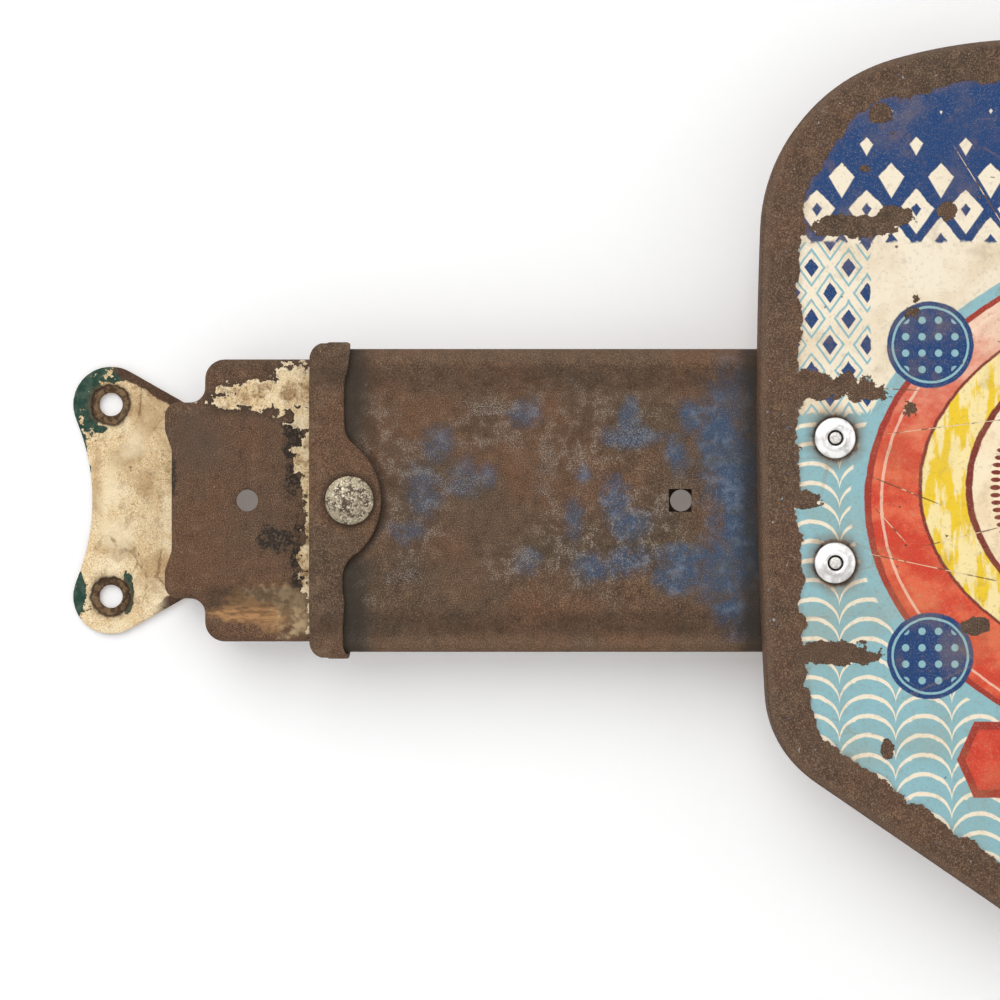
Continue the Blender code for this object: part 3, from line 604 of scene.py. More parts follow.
def clamp_bolt(side, material):
    """A carriage bolt: pitted round head, square neck and a threaded shank."""
    reach = SIDES[side] * CLAMP_REACH
    head, dome, neck, shank, pitch, groove = 5.65, 1.9, 2.4, 2.3, 1.058, 0.42
    apex, seat, shank_front, tail = -25.7, -23.3, -20.3, -10.8
    sphere = (head**2 + dome**2) / (2 * dome)
    angles = np.linspace(0, math.asin(head / sphere), 26)
    profile = [(sphere * math.sin(a), apex + sphere * (1 - math.cos(a))) for a in angles]
    profile += [(head, -23.55), (5.55, -23.34), (5.4, seat), (neck, seat - 0.001), (neck, -20.4)]
    profile += [(shank, y) for y in (shank_front, *np.arange(shank_front + 0.1, tail, 0.132))]
    profile += [(1.9, tail), (0.0, tail)]

    def shaped(radius, y, angles):
        if radius == neck:
            return neck / np.maximum(np.abs(np.cos(angles)), np.abs(np.sin(angles)))
        if radius == shank and y > shank_front:
            phase = (y / pitch + angles / math.tau * SIDES[side]) % 1.0
            return shank - groove * np.abs(2 * phase - 1) * smoothstep(-20.2, -19.4, y)
        return np.full(len(angles), radius)

    bolt = turned(f"{side}_clamp_bolt_zinc", profile, reach, 0.0, 96, shape=shaped)
    points = coordinates(bolt)
    on_head = (points[:, 1] < -23.5) & (np.hypot(points[:, 0] - reach, points[:, 2]) < 5.6)
    pits = np.clip(noise(points, 0.75, 7 + SIDES[side], 2) - 0.1, 0, 1) * 0.14
    pits += np.clip(noise(points, 2.6, 9, 2), 0, 1) * 0.1
    points[:, 1] += np.where(on_head, pits, 0)
    move_points(bolt, points)
    done(bolt, "sign", material, [f"{side}_clamp_bolt"], 35)


def clamp_washer(side, material):
    """A flat washer with rubbed edges."""
    profile = [(2.75, -17.55), (2.9, -17.7), (6.1, -17.7), (6.3, -17.6), (6.35, -17.4), (6.35, -16.8)]
    profile += [(6.3, -16.6), (6.1, -16.5), (2.9, -16.5), (2.75, -16.65)]
    piece = turned(f"{side}_clamp_washer_zinc", profile, SIDES[side] * CLAMP_REACH, 0.0, closed=True)
    done(piece, "sign", material, [f"{side}_clamp_washer"], 50)


def clamp_nut(side, material):
    """A square nut with a chamfered back, rounded corners and a threaded bore."""
    x = SIDES[side] * CLAMP_REACH
    half, front, back = 4.75, -16.2, -13.0
    before, behind = front - 2, back + 2
    outline = square(x, half, 0.5)
    rings = [level(inset(outline, 0.15), front), level(outline, front + 0.15), level(outline, back)]
    nut = loft(f"{side}_clamp_nut_zinc", rings)
    corner = math.hypot(half, half)
    cone = [(0, before), (corner + 2, before), (corner + 2, back - 2.6), (corner - 1.2, back)]
    cone += [(corner - 1.2, behind), (0, behind)]
    combine(nut, [turned("cone", cone, x, 0.0)], "INTERSECT")
    bore = [(0, before), (2.65, before), (2.65, front + 0.1)]
    bore += [(2.62 + 0.2 * (i % 2), y) for i, y in enumerate(np.linspace(front + 0.4, back - 0.5, 6))]
    bore += [(2.62, back - 0.35), (3.0, back), (3.0, behind), (0, behind)]
    combine(nut, [turned("bore", bore, x, 0.0, 48)], "DIFFERENCE")
    done(nut, f"{side}_clamp_nut", material, [f"{side}_clamp_nut"], 30)


def rivet(side, height, aluminium, steel):
    """A set blind rivet with its dished flange, and the broken mandrel inside it."""
    x, z = SIDES[side] * RIVET_REACH, HEIGHTS[height] * RIVET_HALF_SPACING
    sleeve = [
        (1.75, -28.55), (1.8, -28.9), (2, -29.12), (2.3, -29.22), (2.6, -29.2), (2.85, -29.1), (2.98, -29),
        (3.1, -28.97), (3.4, -28.93), (3.8, -28.84), (4.2, -28.7), (4.5, -28.54), (4.68, -28.38),
        (4.75, -28.22), (4.7, -28.13), (4.5, -28.1), (2.38, -28.1), (2.38, -20.05), (2.6, -19.9),
        (3.3, -19.4), (3.62, -18.8), (3.68, -18.2), (3.5, -17.5), (3, -16.9), (2.4, -16.5), (1.9, -16.42),
        (1.75, -16.5), (1.75, -22),
    ]
    piece = turned(f"{height}_{side}_rivet_aluminium", sleeve, x, z, 72, True)
    done(piece, "sign", aluminium, [f"{height}_{side}_panel_rivet"], 50)
    stub = [
        (0, -28.86), (0.7, -28.88), (1.15, -28.85), (1.35, -28.75), (1.45, -28.55), (1.45, -16),
        (1.9, -15.98), (2.1, -15.8), (2.1, -15.2), (1.7, -14.6), (0.9, -14.35), (0, -14.32),
    ]
    core = turned(f"{height}_{side}_mandrel_steel", stub, x, z, 48)
    done(core, "sign", steel, [f"{height}_{side}_rivet_mandrel"], 50)


# Materials. Colours are written as they show on a screen, each part from 0 to 255.
RUST_BROWN, RUST_RED, RUST_GREY = (99, 78, 63), (113, 80, 59), (86, 74, 62)
RUST_DARK, RUST_PALE, RUST_ORANGE = (56, 44, 35), (162, 132, 104), (170, 112, 74)
CREAM, CREAM_PALE, CREAM_TAN = (234, 205, 157), (250, 231, 192), (178, 142, 98)
OLD_GREEN, BAR_BLUE, BAR_BLUE_PALE = (40, 66, 56), (62, 80, 104), (120, 136, 156)
NAVY, ENAMEL_CREAM, SKY = (26, 62, 112), (244, 231, 207), (142, 186, 193)
RED, RED_ORANGE, RED_DARK = (208, 66, 44), (226, 104, 70), (160, 52, 40)
PINK, SALMON, MAROON = (248, 222, 196), (238, 150, 114), (122, 46, 38)
YELLOW, YELLOW_DEEP = (240, 202, 46), (220, 172, 44)


def linear(red, green, blue):
    """The linear colour, with alpha, of one as it shows on a screen."""
    parts = [part / 255 for part in (red, green, blue)]
    return tuple(((p + 0.055) / 1.055) ** 2.4 if p > 0.04045 else p / 12.92 for p in parts) + (1.0,)


def sum_of(operation):
    """A method that does one sum with another value, as a new node."""
    return lambda self, other: self.graph.math(operation, self, other)


class Value:
    """A number, a vector or a colour in a material's nodes. Arithmetic makes new nodes of it.

    a | b is the larger of two, as where one of two patches lies, and a & b is the smaller.
    """

    __add__ = __radd__ = sum_of("ADD")
    __mul__ = __rmul__ = sum_of("MULTIPLY")
    __sub__, __truediv__ = sum_of("SUBTRACT"), sum_of("DIVIDE")
    __or__, __and__ = sum_of("MAXIMUM"), sum_of("MINIMUM")

    def __init__(self, graph, socket):
        self.graph, self.socket = graph, socket

    def __rsub__(self, other):
        return self.graph.math("SUBTRACT", other, self)

    def __abs__(self):
        return self.graph.math("ABSOLUTE", self)

    def wave(self, pitch):
        """Rises and falls between 0 and half the pitch."""
        return self.graph.math("PINGPONG", self, pitch / 2)

    def over(self, low, high):
        """0 below the first number, 1 above the second, and smooth between; or the reverse."""
        inputs = {"Value": self, "From Min": min(low, high), "From Max": max(low, high)}
        inputs |= {"To Min": float(low > high), "To Max": float(low < high)}
        return self.graph.new("MapRange", inputs, interpolation_type="SMOOTHSTEP")


class Graph:
    """The nodes of a material or a world."""

    def __init__(self, block):
        block.use_nodes = True
        self.tree = block.node_tree

    def new(self, kind, inputs=(), output=0, **settings):
        """An output of a new node, with the node's settings and its inputs by name or number."""
        node = self.tree.nodes.new("ShaderNode" + kind)
        for name, value in settings.items():
            setattr(node, name, value)
        for name in inputs:
            self.put(node.inputs[name], inputs[name])
        return Value(self, node.outputs[output])

    def put(self, socket, value):
        """Links a value to a socket, or sets the socket to a number, a vector or a screen colour."""
        if isinstance(value, Value):
            self.tree.links.new(value.socket, socket)
        else:
            socket.default_value = linear(*value) if socket.type == "RGBA" else value

    def math(self, operation, *values):
        return self.new("Math", dict(enumerate(values)), operation=operation)

    def direct(self):
        """1 for what the camera sees, also in a mirror or through something clear, and 0 for light."""
        kinds = ("Camera", "Glossy", "Transmission")
        seen, mirrored, passed = (self.new("LightPath", output=f"Is {kind} Ray") for kind in kinds)
        return seen | mirrored | passed


class Surface(Graph):
    """The nodes of a new material. Places are in millimetres."""

    def __init__(self, name):
        self.material = bpy.data.materials.new(name)
        super().__init__(self.material)
        self.shader = self.tree.nodes["Principled BSDF"]
        self.place = self.vector("MULTIPLY", self.new("TexCoord", output="Object"), (1000, 1000, 1000))
        self.x, self.y, self.z = self.parts(self.place)
        self.facing = self.parts(self.new("TexCoord", output="Normal"))[1]

    def turn(self):
        """From here on, the right half turned round onto the left one, so that their wear differs."""
        flip = self.math("SIGN", self.x) * -1
        self.place = self.joined(abs(self.x) * -1, self.y, self.z * flip)
        self.x, self.y, self.z = self.parts(self.place)

    def vector(self, operation, *values):
        output = "Value" if operation == "LENGTH" else "Vector"
        return self.new("VectorMath", dict(enumerate(values)), output, operation=operation)

    def parts(self, vector):
        node = self.new("SeparateXYZ", {0: vector}).socket.node
        return [Value(self, output) for output in node.outputs]

    def joined(self, x, y, z):
        return self.new("CombineXYZ", {0: x, 1: y, 2: z})

    def spread(self, size, stretch, shift):
        """The place, scaled for a texture of a size, and shifted."""
        scale = tuple(1 / (size * part) for part in stretch)
        return self.new("Mapping", {"Vector": self.place, "Location": shift, "Scale": scale})

    def noise(self, size, seed, detail=3.0, stretch=(1, 1, 1)):
        """Noise about 0.5 whose largest lumps have a size, and are that much longer along X, Y and Z."""
        place = self.spread(size, stretch, (seed * 7.31, seed * 3.77, seed * 5.13))
        return self.new("TexNoise", {"Vector": place, "Scale": 1, "Detail": detail, "Roughness": 0.6})

    def cells(self, size, seed, feature="F1", stretch=(1, 1, 1)):
        """The distance from the nearest of many scattered points, or else from its cell's border."""
        place = self.spread(size, stretch, (seed * 5.37, seed * 9.11, seed * 2.93))
        return self.new("TexVoronoi", {"Vector": place, "Scale": 1}, "Distance", feature=feature)

    def away(self, x, z, half_x=1.0, half_z=None, turn=0.0, place=None):
        """The distance from a point seen from the front, in units of the half sizes of an oval round it."""
        place, half_z = place or self.place, half_z or half_x
        if turn:
            inputs = {"Vector": place, "Location": (x, 0, z), "Rotation": (0, math.radians(turn), 0)}
            inputs["Scale"] = (half_x, 1e6, half_z)
            return self.vector("LENGTH", self.new("Mapping", inputs, vector_type="TEXTURE"))
        scale, shift = (1 / half_x, 0, 1 / half_z), (-x / half_x, 0, -z / half_z)
        return self.vector("LENGTH", self.vector("MULTIPLY_ADD", place, scale, shift))

    def nearest(self, ovals):
        """The distance from the nearest of some ovals (x, z, half_x, half_z), 1 at its edge."""
        distances = [self.away(*oval) for oval in ovals]
        return functools.reduce(lambda nearer, other: nearer & other, distances)

    def blobs(self, ragged, ovals):
        """Over 0 inside any of some ovals and 1 at their middles, plus a value that frays their edges."""
        return ragged + 1.0 - self.nearest(ovals)

    def pair(self, reach, half_spacing):
        """The distance from the nearer of two holes, one above the other."""
        return self.nearest([(-reach, half_spacing), (-reach, -half_spacing)])

    def mix(self, share, under, over):
        return self.new("Mix", {0: share, 6: under, 7: over}, 2, data_type="RGBA")

    def coats(self, colour, rows):
        """A colour under others, each as (share, colour), laid on one after another."""
        for share, over in rows:
            colour = self.mix(share, colour, over)
        return colour

    def finish(self, colour, roughness, height, metallic=0.0, specular=0.5):
        bump = self.new("Bump", {"Distance": 0.001, "Strength": 1.0, "Height": height})
        inputs = {"Base Color": colour, "Roughness": roughness, "Metallic": metallic, "Normal": bump}
        inputs["Specular IOR Level"] = specular
        for name in inputs:
            self.put(self.shader.inputs[name], inputs[name])
        return self.material


def rusted(g, seed, tone, share):
    """Old rusted steel: red and grey clouds round a tone, with dark mottles and a fine glittering grain."""
    clouds, patches = g.noise(32, seed), g.noise(9, seed + 1, 5)
    grain, fine = g.noise(2.8, seed + 2, 5), g.noise(0.29, seed + 3, 1)
    colour = g.coats(RUST_RED, [
        (clouds.over(0.4, 0.6), RUST_GREY),
        (patches.over(0.44, 0.58) * 0.6, RUST_BROWN),
        (share, tone),
        (patches.over(0.44, 0.26) * 0.25, RUST_DARK),
        (grain.over(0.5, 0.28) * 0.5, RUST_DARK),
        (grain.over(0.52, 0.72) * 0.2, RUST_PALE),
        (fine.over(0.5, 0.32) * 0.58, RUST_DARK),
        (fine.over(0.52, 0.68) * 0.44, RUST_PALE),
        (g.noise(2.3, seed + 4, 5).over(0.7, 0.78) * 0.5, RUST_ORANGE),
    ])
    height = patches * 0.25 + grain * 0.3 + fine * 0.05
    return colour, 0.68 + 0.16 * clouds, height, grain, fine


def bar_material():
    """The bar: rust over the last of its blue paint; painted shade in the valleys and round the tabs, shade
    and dirt by the panel.
    """
    g = Surface("bar_rust")
    rust, roughness, height, grain, fine = rusted(g, 1, (100, 79, 64), 0.3)
    g.turn()
    x, across = g.x, abs(g.z)
    front = g.facing.over(-0.2, -0.6) * g.y.over(-18, -19)
    ragged, small = g.noise(11, 11, 7) - 0.5, g.noise(2.6, 12, 4) - 0.5
    worn = g.blobs(ragged * 2.6 + small * 1.2, [
        (-213, 12, 8, 26), (-203, -2, 11, 15), (-217, -24, 5, 14), (-160, 14, 24, 13), (-158, -8, 26, 14),
        (-182, 18, 12, 9), (-178, -14, 14, 6), (-88, 0, 22, 24), (-40, 6, 30, 22), (-6, -4, 24, 20),
    ]).over(-0.15, 0.75) * front
    olive = g.mix(grain.over(0.42, 0.66), (76, 66, 56), (110, 97, 82))
    colour = g.coats(rust, [
        (worn * 0.28, olive),
        # Painted glints: small pale specks in the worn patches
        (worn * fine.over(0.51, 0.62) * grain.over(0.46, 0.6) * 0.5, (172, 166, 158)),
    ])

    blue = g.blobs(ragged * 2.2 + small * 0.9, [
        (-196.6, 12.9, 3.8, 4.4), (-191.4, 5, 4.8, 5), (-185.2, 5.7, 3, 4), (-204.6, -7, 5, 3),
        (-200, 1.4, 4.6, 6), (-176.6, 20, 4, 3.6), (-176.2, -13.8, 3.4, 3.2), (-162.8, 6.4, 2.6, 3),
        (-152.4, 19, 2.6, 5), (-151, 14.6, 8.5, 3), (-141.4, 11, 3.8, 5.4),
        (-137.4, 19.6, 4.2, 4.4), (-156.2, 0.4, 4, 6.4), (-165, -4.4, 3.2, 6), (-152, -5.8, 4.6, 4),
        (-153, -14.2, 6, 4), (-161, -15.6, 4, 4), (-140.4, -18, 6.4, 4.6),
        (-137.6, -12.6, 8, 3.2), (-127.2, 0, 7.6, 31), (-131.4, 15, 6.4, 12.5),
        (-130.6, -16, 7, 11), (-128.6, -25.6, 5.6, 4.6), (-92, 14, 16, 15), (-78, -16, 12, 8),
        (-52, 4, 14, 18), (-26, -12, 18, 10), (-8, 16, 14, 9),
    ])
    solid = blue.over(0.0, 0.75) * x.over(-140, -128)
    blue = blue.over(-0.3, 0.7) * (g.noise(1.4, 13).over(0.22, 0.5) | solid) * front
    paint = g.coats(BAR_BLUE, [
        (grain.over(0.48, 0.7) * 0.5, BAR_BLUE_PALE),
        (g.noise(6, 14, 4).over(0.42, 0.64) * 0.6, (80, 80, 80)),
    ])
    colour = g.coats(colour, [
        (blue * (x.over(-190, -125) * 0.42 + 0.52), paint),
        (blue * fine.over(0.54, 0.7) * 0.28, (160, 170, 184)),
    ])

    wisps = g.blobs(ragged * 2.0 + small * 2.4, [
        (-151, 14.5, 8, 4), (-153, -14, 5.5, 3.4), (-187, 22, 7, 2.6), (-176.4, -13.6, 3.2, 2.8),
        (-205, -18, 6, 2.4), (-163, 9, 3, 5), (-172, 8, 4, 10), (-193, 4, 8, 4),
    ]).over(0.0, 0.9) * fine.over(0.48, 0.6) * front
    valley_shade = across.over(24.0, 27.6) * across.over(32.6, 30.4) * front
    by_collar = (x + ragged * 5).over(-210.0, -216.8) * across.over(11, 16) * front
    colour = g.coats(colour, [
        (wisps * 0.36, (160, 154, 150)),
        # Painted shade in the pressed valleys
        (valley_shade * (0.4 + ragged) * 0.9, (66, 52, 42)),
        # Painted highlight along the outer bands, next to the bent edges
        (across.over(31.6, 33.4) * front * 0.22, (124, 102, 84)),
        # A dark strip beside the panel: painted shade of its raised edge, with dirt
        ((x + small * 2.0).over(-128.4, -123.6) * front * 0.75, (52, 50, 46)),
        (by_collar * 0.85, (58, 53, 47)),
        # Painted shadow of the collar's tab on the bar
        (g.away(-TAB_REACH, 0.0).over(19.0, 16.8) * front * 0.6, (50, 42, 36)),
        ((1.0 - front) * 0.35, (82, 62, 49)),
    ])
    return g.finish(colour, roughness - blue * 0.14, height + blue * 0.1 + worn * 0.04, specular=0.08)


def collar_material():
    """The collars: the same rust, with painted shade in their valleys and round the bolt heads, rubbed
    lighter along the outer band.
    """
    g = Surface("collar_rust")
    rust, roughness, height, _, _ = rusted(g, 21, (90, 70, 56), 0.5)
    rubbed, flecks = g.noise(3.4, 27, 5), g.noise(1.6, 28).over(0.74, 0.78)
    g.turn()
    across = abs(g.z)
    colour = g.coats(rust, [
        (g.x.over(-221.8, -225.8) * rubbed.over(0.44, 0.62) * 0.35, (130, 106, 86)),
        (across.over(33.0, 36.0) * rubbed.over(0.42, 0.62) * 0.3, (134, 112, 92)),
        # Painted shade in the pressed valleys
        (across.over(25.4, 28.4) * across.over(32.0, 30.4) * 0.45, (68, 54, 44)),
        # Painted shade round the bolt head
        (g.away(-CLAMP_REACH, 0.0).over(7.4, 5.8) * 0.6, (58, 46, 38)),
        (flecks, (196, 160, 120)),
    ])
    return g.finish(colour, roughness - 0.05, height * 0.8, specular=0.1)


def arm_material():
    """The arms: rust, with cream paint left on the foot and beside the collar, older green under it, and
    painted shade in a valley and round the inner hole.
    """
    g = Surface("arm_paint")
    rust, roughness, height, _, fine = rusted(g, 41, (98, 73, 57), 0.6)
    g.turn()
    x, y, z = g.x, g.y, g.z
    across = abs(z)
    edge, small = g.noise(7, 51, 7) - 0.5, g.noise(1.7, 52, 4) - 0.5
    speck, stain, blotch = g.noise(0.75, 53, 2), g.noise(9, 54, 6), g.noise(3.6, 56, 5)
    cream = g.coats(CREAM_PALE, [
        (stain.over(0.38, 0.6), CREAM),
        (g.noise(5, 55, 5, (0.7, 1, 1.7)).over(0.52, 0.68) * 0.5, CREAM_TAN),
        (blotch.over(0.56, 0.64) * 0.4, (156, 120, 80)),
        (speck.over(0.54, 0.72) * stain.over(0.36, 0.6) * 0.6, (140, 106, 70)),
        (fine.over(0.5, 0.34) * 0.5, (176, 138, 92)),
        (fine.over(0.52, 0.68) * 0.6, (255, 242, 212)),
        (g.noise(2.2, 57).over(0.69, 0.73) * 0.8, (72, 54, 38)),
    ])

    # The foot: cream over green, bare round the screw holes and along its upper slope
    stained = g.blobs(edge * 2.8 + small * 0.8, [
        (-268, 24, 7, 11), (-274, 10, 6, 4), (-269, 6, 5, 6), (-267, -19, 6, 9), (-276, -12, 8, 3),
        (-281, 4, 2.4, 9),
    ]).over(0.0, 0.8)
    pale = g.blobs(edge * 2.4, [
        (-277, -8, 5, 6), (-272, 14, 4, 5), (-278, 3, 4, 9), (-268, 32, 7, 3),
    ]).over(0.0, 0.8)
    creases = (g.cells(6.0, 61, "DISTANCE_TO_EDGE", (1, 1, 1.6)) + small * 0.3).over(0.06, 0.0)
    wrinkled = g.blobs(0.0, [(-268, 24, 8, 9), (-268, -18, 8, 10), (-276, -12, 7, 4)]).over(-0.1, 0.5)
    creases = creases * wrinkled * blotch.over(0.4, 0.56)
    green = g.blobs(edge * 1.2 + small * 1.2, [
        (-284.6, 24, 5.4, 9), (-285.4, 12.6, 2, 6.6), (-279, 31.6, 7.4, 3), (-286.6, -23, 3.2, 7.4),
        (-273.4, -23, 1.5, 5.4), (-280.2, 17.4, 1.9, 1), (-283.4, 7.4, 0.9, 1.4),
    ]).over(0.02, 0.08)
    flecks = g.blobs(small * 4.6, [(-279.6, 31, 5.6, 2.4), (-284.4, 20, 1.4, 2.4)]).over(0.72, 0.8)
    old_green = g.mix(g.noise(2, 58, 4).over(0.4, 0.66), OLD_GREEN, (72, 92, 78))
    holes = g.pair(EAR_HOLE_REACH, EAR_HOLE_HALF_SPACING) + small * 1.5 + edge * 2.4
    bare = g.mix(g.noise(1.3, 59, 4).over(0.4, 0.62), (74, 56, 42), (128, 104, 78))
    slope = (across + (x + 277.7) * 0.568 + edge * 3.0 + small * 1.5).over(31.2, 31.8)
    slope = slope * x.over(-279, -275) * (z.over(-20, -10) | x.over(-268, -263))
    foot_cream = g.coats(cream, [
        (stained * 0.55, (174, 138, 94)),
        (pale * 0.6, (250, 232, 194)),
        (creases * 0.6, (136, 102, 66)),
        (green * (1.0 - (flecks | small.over(0.17, 0.2))), old_green),
        (holes.over(6.4, 4.8) * 0.45, (120, 90, 60)),
        (holes.over(4.9, 4.6), bare),
        (holes.over(4.1, 4.7) * holes.over(5.3, 4.9) * 0.7, (56, 43, 33)),
        (slope, g.mix(0.5, rust, (66, 48, 38))),
    ])
    foot_front = g.facing.over(0.1, -0.3) * (edge * 1.6 + small * 0.6).over(0.6, 0.5)
    foot_back = g.mix(blotch.over(0.42, 0.6) * 0.4, rust, CREAM_TAN)
    foot_colour = g.mix(foot_front, foot_back, foot_cream)

    # The raised part: a cream patch above, a ragged strip by the collar and a tan one below
    outer = (g.facing.over(0.0, -0.3) | across.over(32.5, 32.9)) * y.over(-11.0, -14.5)
    upper = g.blobs(edge * 1.6 + small * 1.7, [
        (-237.5, 24.8, 12.4, 3.4), (-230.6, 26, 6, 6.8), (-228.8, 20.4, 2.8, 4.2), (-247, 23.4, 4.2, 1.5),
    ])
    beside = g.blobs(edge * 1.8 + small * 3.4, [
        (-227.6, 10, 2, 13), (-229, 9.6, 2.2, 4), (-228.6, -15, 1.9, 6), (-227.2, -6, 1.2, 30),
    ])
    patch = (upper.over(0.0, 0.06) | beside.over(0.1, 0.16)) * outer
    lower = g.blobs(edge * 2.0 + small * 2.2, [(-229.6, -25.6, 6.4, 7.4), (-236, -22, 8, 2.4)])
    lower = lower.over(-0.1, 0.5) * outer
    tan = g.blobs(edge * 1.6 + small * 0.8, [(-243.8, -26.4, 9.4, 3), (-236, -25, 15, 6)])
    tan = tan.over(-0.1, 0.5) * outer
    grainy = g.noise(1.2, 63, 4, (2.4, 1, 0.6)).over(0.42, 0.66)
    shade = (upper + 0.34).over(-0.1, 0.25) | (beside + 0.5).over(0.0, 0.4) * 0.7
    black = g.blobs(edge * 2.0 + small * 2.2, [
        (-230.6, 15, 3, 6.4), (-231.6, 4.4, 2.8, 4.6), (-234.6, -9.4, 5.6, 3.4), (-230.4, -13, 2.6, 7),
        (-259.6, 6.6, 1.5, 5), (-230, -19, 2.8, 2.6),
    ]).over(0.0, 0.35) * outer
    patch_cream = g.coats(cream, [
        (0.16, (150, 116, 76)),
        (blotch.over(0.46, 0.66) * 0.6, (138, 104, 66)),
        (speck.over(0.5, 0.66) * blotch.over(0.4, 0.58) * 0.6, (104, 78, 52)),
    ])
    glint = g.noise(2.6, 64, 4).over(0.66, 0.74) * speck.over(0.52, 0.62)
    valley_shade = across.over(26.2, 24.6) * across.over(18.8, 21.6) * x.over(-254, -250) * outer
    foot = y.over(-3.2, -2.6) * x.over(-256.0, -258.0)
    colour = g.coats(rust, [
        (tan * 0.85, g.mix(grainy, (182, 138, 94), (128, 96, 66))),
        (lower * 0.85, g.mix(blotch.over(0.42, 0.6), (184, 160, 124), (118, 96, 72))),
        (shade * outer * 0.45, (62, 51, 42)),
        (black * 0.85, g.mix(speck.over(0.5, 0.62), (44, 40, 37), (92, 78, 64))),
        (patch, patch_cream),
        (upper.over(0.0, 0.05) * upper.over(0.22, 0.08) * outer * 0.35, (250, 234, 200)),
        (glint * 0.5 * (1.0 - patch), (168, 152, 134)),
        # Painted shade in the valley beside the raised field
        (valley_shade * (1.0 - patch) * 0.5, (62, 52, 44)),
        (g.blobs(0.0, [(-254, 14, 8, 9)]).over(-0.2, 0.8) * outer * 0.4, (84, 74, 66)),
        # Painted shadow round the inner hole, seen through the bar's square hole
        (g.away(-ARM_HOLES[1], 0.0).over(5.4, 4.4) * 0.9, (26, 21, 18)),
        (foot, foot_colour),
    ])
    painted = patch | foot_front * foot * holes.over(4.6, 4.9)
    relief = height * 0.8 + painted * 0.16 + blotch * painted * 0.4 - creases * foot * 0.2
    return g.finish(colour, roughness - painted * 0.16, relief, specular=0.1)


def lozenges(x, z, pitch_x, pitch_z):
    """How far a point lies from the nearest middle of a staggered lattice: 1 where two lozenges meet."""
    row, column = x.wave(pitch_x) / (pitch_x / 2), z.wave(pitch_z) / (pitch_z / 2)
    return (row + column) & (2.0 - row - column)


